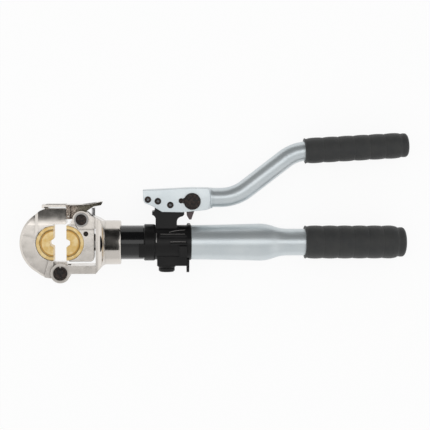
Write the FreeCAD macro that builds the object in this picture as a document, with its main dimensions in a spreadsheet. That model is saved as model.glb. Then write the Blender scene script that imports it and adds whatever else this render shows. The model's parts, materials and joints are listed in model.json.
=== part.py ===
"""Hydraulic hand crimper with a flip-top head, lying on its side.

Lengths are in millimetres. The origin is the crimp axis, where the two die faces meet. +X runs along
the tool to the grips, +Y points from the tank to the pump lever, and +Z is the direction of the cable.
"""
import FreeCAD
import Part
import math
import os
import re
import Sketcher

Vector = FreeCAD.Vector

SIZES = {
    # dies
    "die_radius": 22.4,
    "die_width": 24,
    "die_clearance": 0.1,
    "nest_side": 5.4,
    "ring_radius": 18,
    "ring_groove": 1.2,
    "ram_stroke": 16.5,
    # sprung plunger that holds the yoke's die
    "plunger_angle": 106.2,
    "plunger_depth": 1,
    "plunger_nose": 1.6,
    "plunger_body": 3,
    "plunger_stem": 2,
    "plunger_collar": 2.5,
    "plunger_wire": 0.35,
    "plunger_screw": 4,
    "plunger_sunk": 0.1,
    # yoke
    "yoke_radius": 45,
    "yoke_width": 30,
    "yoke_rim": 2.5,
    "rim_start": 22,
    "rim_bevel": 3.5,
    "arm_end": 16,
    "arm_top": 44.5,
    "arm_chamfer": 1.5,
    "throat": 24.7,
    "ridge_left": 11,
    "ridge_length": 4,
    "ridge_height": 1.7,
    # hinge
    "hinge_right": 8.8,
    "hinge_down": 38.5,
    "hinge_pin_radius": 6.6,
    "hinge_boss": 12.6,
    "tongue_width": 14,
    "running_fit": 0.05,
    "side_play": 0.3,
    "ring_thick": 1.2,
    "ring_wide": 2.4,
    # latch
    "latch_right": 35.75,
    "latch_up": 30.7,
    "latch_pin_radius": 5.5,
    "latch_cap": 7.1,
    "latch_washer": 9,
    "latch_boss": 9.3,
    "latch_width": 13.8,
    "hook_width": 26,
    "hook_drop": 0.5,
    "hook_thick": 3,
    "hook_top": 49.2,
    "thumb_right": 62.3,
    "thumb_top": 53,
    "thumb_width": 20,
    "latch_spring_right": 50.5,
    "latch_spring_foot": 34.6,
    "latch_spring_height": 10.6,
    "latch_spring_mean": 2,
    "latch_wire": 0.4,
    # frame
    "frame_width": 34,
    "ear_radius": 11,
    "ear_left": 22.3,
    "arm_inner": 28.9,
    "arm_outer": 39,
    "frame_wall": 54,
    "upper_arm": 18.8,
    "collar_radius": 28.6,
    "collar_left": 66,
    "collar_right": 86.3,
    "collar_chamfer": 1.2,
    "cutter_radius": 16,
    # ram
    "ram_width": 26,
    "ram_back": 51.9,
    "ram_top": 24,
    "ram_bottom": 23.7,
    "ram_shoulder": 18.5,
    "ram_step": 28,
    "ram_corner": 5,
    "lip_back": 3,
    "ram_wire": 0.9,
    "button_deep": 10,
    "button_spring": 4,
    "button_right": 41.5,
    "button_up": 12.1,
    "button_radius": 3.1,
    "rod_radius": 11,
    "piston_radius": 16.4,
    "piston_left": 94,
    "piston_long": 12,
    "seal_wide": 4,
    "seal_deep": 2.5,
    # cylinder
    "bore_radius": 16.5,
    "cylinder_radius": 22.1,
    "cylinder_left": 60,
    "guide_long": 7,
    "spigot_radius": 19.5,
    "spigot_end": 127,
    "port_radius": 2.5,
    # swivel housing
    "housing_left": 115.8,
    "housing_right": 129.9,
    "housing_radius": 23.7,
    "swivel_ring_left": 121,
    "swivel_ring_wide": 1.6,
    "tongue_left": 109.2,
    "guard_low": 18.2,
    "guard_thick": 2.4,
    # pump body
    "pump_right": 171,
    "pump_radius": 22.5,
    "pump_floor": 29.4,
    "pump_block": 28,
    "thread_radius": 19.9,
    "rib_up": 10,
    "rib_radius": 2,
    "tower_left": 130.7,
    "tower_right": 158.1,
    "tower_width": 24.4,
    "head_left": 126.2,
    "head_right": 167.6,
    "head_low": 36.8,
    "head_high": 41.5,
    "notch_radius": 7,
    "tower_notch": 6.5,
    "boss_right": 145.2,
    "boss_radius": 11.5,
    "boss_low": 33,
    "cap_low": 38.1,
    "boss_bevel": 1.5,
    "cap_thread": 6,
    "cap_socket": 3.5,
    "valve_radius": 6,
    "valve_seat": 13,
    "ball_radius": 3,
    "suction_wire": 0.4,
    # lever pivot and pump piston
    "pivot_right": 133.6,
    "pivot_up": 54.3,
    "pivot_radius": 4,
    "pivot_lug": 8,
    "plunger_right": 149.5,
    "cross_up": 49.5,
    "cross_radius": 3,
    "plunger_radius": 6,
    "plunger_foot": 16,
    "chamber_floor": 8,
    "eye_half": 7.2,
    "eye_width": 16,
    "eye_top": 56.5,
    "eye_low": 44,
    "slot_play": 0.35,
    "slot_travel": 2.4,
    "gland_radius": 9,
    "gland_deep": 6,
    # end flange and release stem
    "flange_right": 176.8,
    "flange_radius": 23.2,
    "lug_down": 33,
    "lug_radius": 6.3,
    "lug_hole": 3,
    "lug_thick": 3.4,
    "stem_right": 173.6,
    "stem_radius": 2.3,
    "stem_top": 24.9,
    "stem_foot": 16,
    "stem_spring": 4,
    # tank
    "tank_start": 22.3,
    "tank_middle": 23,
    "tank_bulge": 24.2,
    "tank_middle_x": 221,
    "tank_bulge_x": 266,
    "tank_neck_x": 303,
    "tank_neck": 17.5,
    "tank_wall": 2.4,
    "tank_end": 444,
    "spigot_long": 14,
    "bladder_wall": 1.5,
    "bladder_gap": 1.5,
    "bladder_right": 262,
    "suction_radius": 3,
    "suction_long": 30,
    # lower grip
    "grip_left": 325.5,
    "grip_radius": 21.2,
    "grip_wave": 19.1,
    "grip_wave_deep": 0.6,
    "grip_waves": 6,
    "grip_mouth": 5,
    "grip_cap": 8.5,
    # lever
    "clevis_width": 33,
    "cheek": 3.8,
    "clevis_left": 114.3,
    "clevis_roof": 62.9,
    "clevis_top": 68,
    "clevis_rise": 71.2,
    "clevis_low": 40.6,
    "clevis_end": 200,
    "spacer_right": 120.8,
    "spacer_up": 56.4,
    "spacer_radius": 2.5,
    "pin_cap": 4.2,
    "cap_thick": 1.2,
    "tube_radius": 12.5,
    "tube_wall": 2.2,
    "tube_up": 58.4,
    "tube_start": 186,
    "bend_right": 233.6,
    "bend_angle": 37.7,
    "bend_radius": 55,
    "crest_right": 311,
    "crest_angle": 3.5,
    "crest_radius": 52,
    "crest_long": 138,
    # upper grip
    "upper_grip_start": 13.2,
    "upper_grip_radius": 16.2,
    "upper_grip_wave": 19.6,
    "upper_grip_cap": 10,
    # release knob
    "knob_right": 177.6,
    "knob_up": 54.3,
    "knob_radius": 10.8,
    "knob_thick": 4.5,
    "knob_shaft": 4.5,
    "nose_reach": 13.5,
    "nose_radius": 3.5,
    "nose_rise": 0.6,
    "nose_root": 8,
    "finger_hub": 8,
    "finger_width": 10,
    "finger_low": 29.9,
    "finger_right": 176.9,
    "finger_left": 171.2,
}

doc = FreeCAD.newDocument("crimping_pliers")
sheet = doc.addObject("Spreadsheet::Sheet", "Sizes")
for row, (name, value) in enumerate(SIZES.items(), start=1):
    sheet.set("A%d" % row, name)
    sheet.set("B%d" % row, str(value))
    sheet.setAlias("B%d" % row, name)
doc.recompute()

WORD = re.compile(r"\b[a-z][a-z_]*\b")


def bound(expression):
    """Return the expression with the sheet's name before each of its sizes."""
    return WORD.sub(lambda word: "Sizes." + word[0] if word[0] in SIZES else word[0], expression)


def number(expression):
    """Return what the expression comes to with the sizes as they stand."""
    return float(sheet.evalExpression(expression))


class Outline:
    """Draws closed loops in one sketch, each vertex held by sizes of the sheet.

    A loop is a list of (x, y) corners, or (x, y, radius, turn) for an arc that ends there: turn is 1
    where the arc turns left and -1 where it turns right. A tuple (x, y, radius) alone is a circle.
    """

    def __init__(self, sketch):
        self.sketch = sketch

    def hold(self, kind, geometry, point, expression):
        if abs(number(expression)) < 1e-9:
            axis = -2 if kind == "DistanceX" else -1
            self.sketch.addConstraint(Sketcher.Constraint("PointOnObject", geometry, point, axis))
            return
        index = self.sketch.addConstraint(Sketcher.Constraint(kind, geometry, point, number(expression)))
        self.sketch.setExpression("Constraints[%d]" % index, bound(expression))

    def hold_radius(self, geometry, expression):
        index = self.sketch.addConstraint(Sketcher.Constraint("Radius", geometry, number(expression)))
        self.sketch.setExpression("Constraints[%d]" % index, bound(expression))

    def circle(self, x, y, radius):
        centre = Vector(number(x), number(y), 0)
        ring = self.sketch.addGeometry(Part.Circle(centre, Vector(0, 0, 1), number(radius)), False)
        self.hold("DistanceX", ring, 3, x)
        self.hold("DistanceY", ring, 3, y)
        self.hold_radius(ring, radius)

    def edge(self, start, end, corner):
        """Add the edge from start to end and return it with its two end numbers."""
        if len(corner) == 2:
            return self.sketch.addGeometry(Part.LineSegment(start, end), False), 1, 2
        radius = number(corner[2])
        turn = corner[3]
        chord = end - start
        left = Vector(-chord.y, chord.x, 0).normalize()
        height = math.sqrt(max(radius ** 2 - (chord.Length / 2) ** 2, 0))
        centre = (start + end) * 0.5 + left * (turn * height)
        angles = [math.atan2(p.y - centre.y, p.x - centre.x) for p in (start, end)]
        first, last = angles if turn > 0 else reversed(angles)
        circle = Part.Circle(centre, Vector(0, 0, 1), radius)
        arc = self.sketch.addGeometry(Part.ArcOfCircle(circle, first, last), False)
        self.hold_radius(arc, corner[2])
        return (arc, 1, 2) if turn > 0 else (arc, 2, 1)

    def draw(self, corners, closed=True):
        places = [Vector(number(corner[0]), number(corner[1]), 0) for corner in corners]
        steps = range(1, len(corners) + (1 if closed else 0))
        edges = []
        for step in steps:
            corner = corners[step % len(corners)]
            edges.append(self.edge(places[step - 1], places[step % len(corners)], corner))
        for (this, _, end), (following, start, _) in zip(edges, edges[1:]):
            self.sketch.addConstraint(Sketcher.Constraint("Coincident", this, end, following, start))
        if closed:
            last, first = edges[-1], edges[0]
            self.sketch.addConstraint(Sketcher.Constraint("Coincident", last[0], last[2], first[0], first[1]))
        for corner, (geometry, start, _) in zip(corners, edges):
            self.hold("DistanceX", geometry, start, corner[0])
            self.hold("DistanceY", geometry, start, corner[1])
        if not closed:
            geometry, _, end = edges[-1]
            self.hold("DistanceX", geometry, end, corners[-1][0])
            self.hold("DistanceY", geometry, end, corners[-1][1])


class Piece:
    """One physical piece, a body with helpers for its sketches and features."""

    def __init__(self, label):
        self.body = doc.addObject("PartDesign::Body", label)
        self.body.Label = label
        self.count = 0
        self.volume = 0
        PIECES.append(self)

    def name(self, kind):
        self.count += 1
        return "%s_%s_%d" % (self.body.Label, kind, self.count)

    def sketch(self, plane, loops, shift=("0", "0", "0"), tilt="0", closed=True):
        sketch = self.body.newObject("Sketcher::SketchObject", self.name("sketch"))
        origin = [f for f in self.body.Origin.OriginFeatures if f.Role == plane][0]
        sketch.AttachmentSupport = (origin, [""])
        sketch.MapMode = "FlatFace"
        base = Vector(*[number(value) for value in shift])
        turn = FreeCAD.Rotation(Vector(0, 0, 1), number(tilt))
        sketch.AttachmentOffset = FreeCAD.Placement(base, turn)
        for axis, value in zip("xyz", shift):
            if value != "0":
                sketch.setExpression("AttachmentOffset.Base." + axis, bound(value))
        if tilt != "0":
            sketch.setExpression("AttachmentOffset.Rotation.Angle", bound(tilt))
        outline = Outline(sketch)
        for loop in loops:
            if isinstance(loop, tuple):
                outline.circle(*loop)
            else:
                outline.draw(loop, closed)
        return sketch

    def layer(self, kind, plane, loops, low, high):
        """Add or cut a flat layer between two heights along the plane's world axis."""
        upward = plane != "XZ_Plane"
        shift = low if upward else "-(%s)" % low
        feature = self.body.newObject("PartDesign::" + kind, self.name(kind.lower()))
        feature.Profile = self.sketch(plane, loops, ("0", "0", shift))
        feature.setExpression("Length", bound("(%s) - (%s)" % (high, low)))
        feature.Reversed = (kind == "Pocket") == upward
        return self.finish(feature)

    def pad(self, loops, low, high, plane="XY_Plane"):
        return self.layer("Pad", plane, loops, low, high)

    def pocket(self, loops, low, high, plane="XY_Plane"):
        return self.layer("Pocket", plane, loops, low, high)

    def slab(self, loops, width):
        """Pad evenly to both sides of the tool's mid-plane."""
        return self.pad(loops, "-(%s) / 2" % width, "(%s) / 2" % width)

    def slot(self, loops, width):
        return self.pocket(loops, "-(%s) / 2" % width, "(%s) / 2" % width)

    def round(self, kind, profile, along, at=("0", "0"), tilt="0"):
        """Turn a profile of (place along the axis, radius) corners about an axis along X, Y or Z."""
        right, up = at
        plane, shift, axis = {
            "X": ("XY_Plane", (right, up, "0"), "H_Axis"),
            "Y": ("XY_Plane", (right, up, "0"), "V_Axis"),
            "Z": ("XZ_Plane", (right, "0", "-(%s)" % up), "V_Axis"),
        }[along]
        corners = profile if axis == "H_Axis" else [swap(corner) for corner in profile]
        feature = self.body.newObject("PartDesign::" + kind, self.name(kind.lower()))
        sketch = self.sketch(plane, [corners], shift, tilt)
        feature.Profile = sketch
        feature.ReferenceAxis = (sketch, [axis])
        return self.finish(feature)

    def turn(self, profile, along="X", at=("0", "0"), tilt="0"):
        return self.round("Revolution", profile, along, at, tilt)

    def groove(self, profile, along="X", at=("0", "0"), tilt="0"):
        return self.round("Groove", profile, along, at, tilt)

    def coil(self, mean, wire, start, long, turns, along="Y", at=("0", "0")):
        """Wind a spring of round wire from start, its wire just inside both ends."""
        axis = "H_Axis" if along == "X" else "V_Axis"
        ring = ("%s + %s" % (start, wire), mean, wire)
        if along != "X":
            ring = (ring[1], ring[0], ring[2])
        plane = "XZ_Plane" if along == "Z" else "XY_Plane"
        shift = (at[0], "0", "-(%s)" % at[1]) if along == "Z" else (at[0], at[1], "0")
        sketch = self.sketch(plane, [ring], shift)
        feature = self.body.newObject("PartDesign::AdditiveHelix", self.name("helix"))
        feature.Profile = sketch
        feature.ReferenceAxis = (sketch, [axis])
        feature.Mode = "height-turns-angle"
        feature.setExpression("Height", bound("%s - 2 * %s" % (long, wire)))
        feature.Turns = turns
        return self.finish(feature)

    def edges(self, wanted):
        found = []
        for index, edge in enumerate(self.body.Tip.Shape.Edges, start=1):
            if wanted(edge):
                found.append("Edge%d" % index)
        return found

    def soften(self, kind, size, wanted):
        """Fillet or chamfer the edges that the test picks."""
        names = self.edges(wanted)
        base = self.body.Tip
        feature = self.body.newObject("PartDesign::" + kind, self.name(kind.lower()))
        feature.Base = (base, names)
        feature.setExpression("Radius" if kind == "Fillet" else "Size", bound(size))
        return self.finish(feature)

    def finish(self, feature):
        """Compute the new feature and stop where it failed or a cut took nothing away."""
        self.body.Tip = feature
        doc.recompute()
        if "Invalid" in feature.State or feature.Shape.isNull():
            raise RuntimeError("feature failed: " + feature.Name)
        volume = feature.Shape.Volume
        if feature.TypeId in ("PartDesign::Pocket", "PartDesign::Groove") and volume >= self.volume:
            raise RuntimeError("nothing was cut: " + feature.Name)
        self.volume = volume
        return self

    def place(self, right, up, angle="0"):
        """Stand the finished body somewhere else in the tool's plane, turned about Z."""
        turn = FreeCAD.Rotation(Vector(0, 0, 1), number(angle))
        self.body.Placement = FreeCAD.Placement(Vector(number(right), number(up), 0), turn)
        self.body.setExpression("Placement.Base.x", bound(right))
        self.body.setExpression("Placement.Base.y", bound(up))
        if angle != "0":
            self.body.setExpression("Placement.Rotation.Angle", bound(angle))
        return self


PIECES = []


def swap(corner):
    """Exchange a corner's two coordinates, which also turns its arc the other way."""
    if len(corner) == 2:
        return (corner[1], corner[0])
    return (corner[1], corner[0], corner[2], -corner[3])


def rod(low, high, radius, bevel="0.4"):
    """Profile of a plain pin between two places on its axis, with bevelled ends."""
    return [
        (low, "0"),
        (low, "%s - %s" % (radius, bevel)),
        ("%s + %s" % (low, bevel), radius),
        ("%s - %s" % (high, bevel), radius),
        (high, "%s - %s" % (radius, bevel)),
        (high, "0"),
    ]


def tube(low, high, inner, outer):
    return [(low, inner), (low, outer), (high, outer), (high, inner)]


def vertical(edge, right, up):
    """Tell whether an edge runs along Z at the given place."""
    place = (number(right), number(up))
    return all(abs(v.X - place[0]) < 1e-4 and abs(v.Y - place[1]) < 1e-4 for v in edge.Vertexes)


def box(left, low, right, high):
    return [(left, low), (right, low), (right, high), (left, high)]


def half_die(label, face, side):
    """Half-round die with its flat face at the given X and half of the hexagonal nest in it.

    side is -1 for the die whose round back points to -X and 1 for the other. The nest is half of a
    regular hexagon, so its depth is the side length times sin(60).
    """
    die = Piece(label)
    floor = "%s + %d * nest_side * sin(60)" % (face, side)
    die.slab([[
        (face, "%d * nest_side" % side),
        (face, "%d * die_radius" % side),
        ("%s + %d * die_radius" % (face, side), "0", "die_radius", -1),
        (face, "%d * die_radius" % -side, "die_radius", -1),
        (face, "%d * nest_side" % -side),
        (floor, "%d * nest_side / 2" % -side),
        (floor, "%d * nest_side / 2" % side),
    ]], "die_width")
    inner = "ring_radius - ring_groove"
    ring = [
        (face, "%d * (%s)" % (side, inner), inner, 1),
        (face, "%d * ring_radius" % side),
        ("%s + %d * ring_radius" % (face, side), "0", "ring_radius", -1),
        (face, "%d * ring_radius" % -side, "ring_radius", -1),
        (face, "%d * (%s)" % (-side, inner)),
        ("%s + %d * (%s)" % (face, side, inner), "0", inner, 1),
    ]
    die.pocket([ring], "die_width / 2 - ring_groove", "die_width / 2")
    die.pocket([ring], "-die_width / 2", "-die_width / 2 + ring_groove")
    return die


def build_dies():
    die = half_die("yoke_die", "0", -1)
    die.groove(rod("die_radius - plunger_depth - side_play", "die_radius + 1", "plunger_nose + side_play"),
               tilt="plunger_angle")
    half_die("ram_die", "ram_stroke", 1)


def build_yoke():
    yoke = Piece("yoke")
    seat = "die_radius + die_clearance"
    yoke.slab([[
        ("0", "-yoke_radius", "yoke_radius", 1),
        ("0", "-(%s)" % seat),
        ("-(%s)" % seat, "0", seat, -1),
        ("0", seat, seat, -1),
        ("0", "throat"),
        ("arm_end", "throat"),
        ("arm_end", "arm_top"),
        ("-ridge_left + ridge_length", "arm_top"),
        ("-ridge_left + ridge_length", "arm_top + ridge_height"),
        ("-ridge_left", "arm_top + ridge_height"),
        ("-ridge_left", "sqrt(yoke_radius ^ 2 - ridge_left ^ 2)"),
        ("-yoke_radius", "0", "yoke_radius", 1),
    ]], "yoke_width")
    for side in (1, -1):
        yoke.pocket([[
            ("-rim_start", "%d * yoke_width / 2" % side),
            ("-rim_start - rim_bevel", "%d * (yoke_width / 2 - yoke_rim)" % side),
            ("-yoke_radius - 1", "%d * (yoke_width / 2 - yoke_rim)" % side),
            ("-yoke_radius - 1", "%d * (yoke_width / 2 + 1)" % side),
            ("-rim_start", "%d * (yoke_width / 2 + 1)" % side),
        ]], "-yoke_radius - 1", "yoke_radius + 1", "XZ_Plane")
    relief = ("hinge_right", "-hinge_down", "hinge_boss + side_play")
    yoke.pocket([relief], "tongue_width / 2", "yoke_width / 2 + 1")
    yoke.pocket([relief], "-yoke_width / 2 - 1", "-tongue_width / 2")
    eye = "hinge_boss - side_play"
    yoke.slab([[
        ("hinge_right - hinge_boss - side_play - 2", "-hinge_down"),
        ("hinge_right", "-hinge_down - (%s)" % eye),
        ("hinge_right + %s" % eye, "-hinge_down", eye, 1),
        ("arm_end", "-throat"),
        ("hinge_right - hinge_boss - side_play - 2", "-throat"),
    ]], "tongue_width")
    yoke.slot([("hinge_right", "-hinge_down", "hinge_pin_radius + running_fit")], "tongue_width + 2")
    step = "die_radius + plunger_collar - running_fit"
    yoke.groove([
        ("die_radius", "0"),
        ("die_radius", "plunger_nose + running_fit"),
        (step, "plunger_nose + running_fit"),
        (step, "plunger_body + running_fit"),
        ("yoke_radius + 4", "plunger_body + running_fit"),
        ("yoke_radius + 4", "0"),
    ], tilt="plunger_angle")
    yoke.soften("Chamfer", "arm_chamfer", lambda edge: vertical(edge, "arm_end", "arm_top"))


def build_yoke_plunger():
    """Sprung detent that holds the yoke's die, on a slanted axis through the crimp axis."""
    plunger = Piece("yoke_die_plunger")
    plunger.turn([
        ("die_radius - plunger_depth", "0"),
        ("die_radius - plunger_depth", "plunger_nose / 2"),
        ("die_radius + 0.5", "plunger_nose"),
        ("die_radius + plunger_collar", "plunger_nose"),
        ("die_radius + plunger_collar", "plunger_body"),
        ("die_radius + plunger_collar + 4", "plunger_body"),
        ("die_radius + plunger_collar + 4", "plunger_stem"),
        ("yoke_radius - plunger_sunk", "plunger_stem"),
        ("yoke_radius - plunger_sunk", "0"),
    ], tilt="plunger_angle")
    cap = Piece("plunger_screw")
    cap.turn(tube("yoke_radius - plunger_screw", "yoke_radius - 0.2", "plunger_stem + running_fit",
                  "plunger_body"), tilt="plunger_angle")
    spring = Piece("plunger_spring")
    spring.coil("(plunger_stem + plunger_body) / 2", "plunger_wire", "0",
                "yoke_radius - plunger_screw - die_radius - plunger_collar - 4", 4, "X")
    spring.place("(die_radius + plunger_collar + 4) * cos(plunger_angle)",
                 "(die_radius + plunger_collar + 4) * sin(plunger_angle)", "plunger_angle")


def pinned(label, right, up, radius, cap, width, washer=None):
    """Headed pin along Z, its two caps outside a fork of the given width."""
    outside = "(%s) / 2" % width
    face = "%s + side_play / 2" % outside
    pin = Piece(label)
    if washer:
        face = "%s + ring_thick" % face
    pin.turn([
        ("-(%s) - cap_thick" % face, "0"),
        ("-(%s) - cap_thick" % face, "%s - cap_thick / 2" % cap),
        ("-(%s) - cap_thick / 2" % face, cap),
        ("-(%s)" % face, cap),
        ("-(%s)" % face, radius),
        (face, radius),
        (face, cap),
        ("%s + cap_thick / 2" % face, cap),
        ("%s + cap_thick" % face, "%s - cap_thick / 2" % cap),
        ("%s + cap_thick" % face, "0"),
    ], "Z", (right, up))
    if washer:
        rings = Piece(label + "_washers")
        rings.turn(tube("%s + side_play / 2" % outside, face, "%s + running_fit" % radius, washer),
                   "Z", (right, up))
        rings.turn(tube("-(%s)" % face, "-(%s) - side_play / 2" % outside,
                        "%s + running_fit" % radius, washer), "Z", (right, up))
    return pin


def build_hinge_pin():
    at = ("hinge_right", "-hinge_down")
    pin = Piece("hinge_pin")
    end = "frame_width / 2 + side_play / 2 + ring_thick + 1"
    pin.turn(rod("-(%s)" % end, end, "hinge_pin_radius", "0.8"), "Z", at)
    ring = "frame_width / 2 + side_play / 2"
    for low, high in ((ring, ring + " + ring_thick"), ("-(%s) - ring_thick" % ring, "-(%s)" % ring)):
        pin.groove(tube(low, high, "hinge_pin_radius - ring_wide / 2", "hinge_pin_radius + 1"), "Z", at)
    rings = Piece("hinge_snap_rings")
    for low, high in ((ring, ring + " + ring_thick"), ("-(%s) - ring_thick" % ring, "-(%s)" % ring)):
        rings.turn(tube(low, high, "hinge_pin_radius - ring_wide / 2 + running_fit",
                        "hinge_pin_radius + ring_wide"), "Z", at)
    gap = box("hinge_right - ring_wide / 2", "-hinge_down + hinge_pin_radius / 2",
              "hinge_right + ring_wide / 2", "-hinge_down + 2 * hinge_pin_radius")
    rings.slot([gap], "frame_width + 8")


def build_frame():
    frame = Piece("head_frame")
    frame.slab([[
        ("hinge_right", "-arm_outer"),
        ("frame_wall", "-arm_outer"),
        ("collar_left - 2.4", "-collar_radius"),
        ("collar_right", "-collar_radius"),
        ("collar_right", "collar_radius"),
        ("collar_left - 2.4", "collar_radius"),
        ("frame_wall - 0.8", "collar_radius + 4.9"),
        ("latch_right + ear_radius", "latch_up + ear_radius / 2"),
        ("latch_right", "latch_up + ear_radius", "1.25 * ear_radius", 1),
        ("latch_right - ear_radius", "latch_up", "ear_radius", 1),
        ("ear_left", "latch_up - 2.4"),
        ("ear_left", "ram_top + side_play"),
        ("ram_step + 1", "ram_top + side_play"),
        ("ram_step + 4", "upper_arm"),
        ("frame_wall", "upper_arm"),
        ("frame_wall", "-arm_inner"),
        ("hinge_right", "-arm_inner"),
    ]], "2 * collar_radius")
    for side in (1, -1):
        frame.pocket([[
            ("-hinge_boss", "%d * frame_width / 2" % side),
            ("frame_wall", "%d * frame_width / 2" % side),
            ("collar_left", "%d * collar_radius" % side, "cutter_radius", side),
            ("collar_left", "%d * (collar_radius + 1)" % side),
            ("-hinge_boss", "%d * (collar_radius + 1)" % side),
        ]], "-2 * collar_radius", "2 * collar_radius", "XZ_Plane")
    frame.groove([
        ("frame_wall", "1.5 * collar_radius"),
        ("collar_left", "collar_radius"),
        ("collar_right - collar_chamfer", "collar_radius"),
        ("collar_right", "collar_radius - collar_chamfer"),
        ("collar_right + 1", "collar_radius - collar_chamfer"),
        ("collar_right + 1", "1.5 * collar_radius"),
    ])
    frame.slab([("hinge_right", "-hinge_down", "hinge_boss")], "frame_width")
    frame.slot([box("-hinge_boss", "-hinge_down - hinge_boss - 1",
                    "hinge_right + hinge_boss + side_play", "0")], "tongue_width + 2 * side_play")
    frame.slot([("hinge_right", "-hinge_down", "hinge_pin_radius + die_clearance / 2")], "2 * collar_radius")
    frame.slot([("latch_right", "latch_up", "latch_boss + side_play")], "latch_width + 2 * side_play")
    frame.slot([box("0", "latch_up", "latch_right + latch_boss + 4", "2 * collar_radius")],
               "latch_width + 2 * side_play")
    frame.slot([("latch_right", "latch_up", "latch_pin_radius + running_fit")], "2 * collar_radius")
    frame.groove([
        ("frame_wall - 1", "0"),
        ("frame_wall - 1", "rod_radius + die_clearance"),
        ("cylinder_left", "rod_radius + die_clearance"),
        ("cylinder_left", "cylinder_radius + running_fit"),
        ("collar_right + 1", "cylinder_radius + running_fit"),
        ("collar_right + 1", "0"),
    ])


def build_latch():
    latch = Piece("latch")
    under = "arm_top + ridge_height + hook_drop"
    tip = ("-ridge_left - hook_drop - hook_thick", "arm_top + hook_drop")
    heel = ("arm_end + hook_drop", "latch_up + side_play")
    latch.slab([[
        tip,
        ("-ridge_left - hook_drop", "arm_top + hook_drop"),
        ("-ridge_left - hook_drop", under),
        ("arm_end + hook_drop", under),
        heel,
        ("latch_right - latch_boss", "latch_up"),
        ("latch_right", "latch_up - latch_boss", "latch_boss", 1),
        ("latch_right + latch_boss", "latch_up", "latch_boss", 1),
        ("latch_right + 0.7 * latch_boss", "hook_top - 8"),
        ("thumb_right - 10.7", "hook_top - 2"),
        ("thumb_right - 1.6", "thumb_top - 4.2"),
        ("thumb_right", "thumb_top - 1.2"),
        ("thumb_right - 1.2", "thumb_top"),
        ("latch_right - latch_boss", "hook_top - 1"),
        ("arm_end", "hook_top"),
        (tip[0] + " + 1", "hook_top"),
        (tip[0], "hook_top - 1"),
    ]], "latch_width")
    latch.slab([[
        tip,
        ("-ridge_left - hook_drop", "arm_top + hook_drop"),
        ("-ridge_left - hook_drop", under),
        ("arm_end + hook_drop", under),
        heel,
        ("ear_left - 0.8", "latch_up + side_play"),
        ("ear_left - 0.8", "hook_top - 0.5"),
        ("arm_end", "hook_top"),
        (tip[0] + " + 1", "hook_top"),
        (tip[0], "hook_top - 1"),
    ]], "hook_width")
    latch.slab([[
        ("latch_right + latch_boss + 3", "hook_top - 3.8"),
        ("thumb_right - 10.7", "hook_top - 2"),
        ("thumb_right - 1.6", "thumb_top - 4.2"),
        ("thumb_right", "thumb_top - 1.2"),
        ("thumb_right - 1.2", "thumb_top"),
        ("latch_right + latch_boss + 3", "hook_top + 0.9"),
    ]], "thumb_width")
    latch.slot([("latch_right", "latch_up", "latch_pin_radius + running_fit")], "hook_width")
    pinned("latch_pin", "latch_right", "latch_up", "latch_pin_radius", "latch_cap", "frame_width",
           "latch_washer")
    spring = Piece("latch_spring")
    spring.coil("latch_spring_mean", "latch_wire", "0", "latch_spring_height", 6, "Y")
    spring.place("latch_spring_right", "latch_spring_foot")


def build_ram():
    ram = Piece("ram_head")
    seat = "die_radius + die_clearance"
    lip = "ram_stroke + lip_back"
    lip_rise = "sqrt((%s) ^ 2 - lip_back ^ 2)" % seat
    ram.slab([[
        (lip, "ram_top"),
        (lip, lip_rise),
        ("ram_stroke + %s" % seat, "0", seat, -1),
        (lip, "-" + lip_rise, seat, -1),
        (lip, "-ram_bottom"),
        ("ram_back - ram_corner", "-ram_bottom"),
        ("ram_back", "-ram_bottom + ram_corner", "ram_corner", 1),
        ("ram_back", "ram_shoulder"),
        ("ram_step + 3", "ram_shoulder"),
        ("ram_step", "ram_top"),
    ]], "ram_width")
    ram.pocket([("button_right", "button_up", "button_radius + running_fit")],
               "ram_width / 2 - button_deep", "ram_width / 2")
    button = Piece("ram_die_button")
    low = "ram_width / 2 - button_deep + button_spring"
    button.turn(rod(low, "ram_width / 2 - 0.6", "button_radius", "0.5"), "Z",
                ("button_right", "button_up"))
    spring = Piece("button_spring")
    spring.coil("button_radius - 1", "plunger_wire", "ram_width / 2 - button_deep", "button_spring", 4,
                "Z", ("button_right", "button_up"))
    piston = Piece("ram_piston")
    end = "piston_left + piston_long"
    groove = "piston_left + (piston_long - seal_wide) / 2"
    piston.turn([
        ("ram_back", "0"),
        ("ram_back", "rod_radius"),
        ("piston_left", "rod_radius"),
        ("piston_left", "piston_radius"),
        (groove, "piston_radius"),
        (groove, "piston_radius - seal_deep"),
        (groove + " + seal_wide", "piston_radius - seal_deep"),
        (groove + " + seal_wide", "piston_radius"),
        (end, "piston_radius"),
        (end, "0"),
    ])
    seal = Piece("piston_seal")
    seal.turn(tube(groove + " + 0.05", groove + " + seal_wide - 0.05", "piston_radius - seal_deep + 0.05",
                   "bore_radius - running_fit"))
    guide = Piece("rod_guide")
    guide.turn(tube("cylinder_left", "cylinder_left + guide_long", "rod_radius + running_fit",
                    "bore_radius - running_fit"))
    spring = Piece("ram_return_spring")
    spring.coil("(rod_radius + bore_radius) / 2", "ram_wire", "cylinder_left + guide_long",
                "piston_left - cylinder_left - guide_long", 5, "X")


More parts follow.
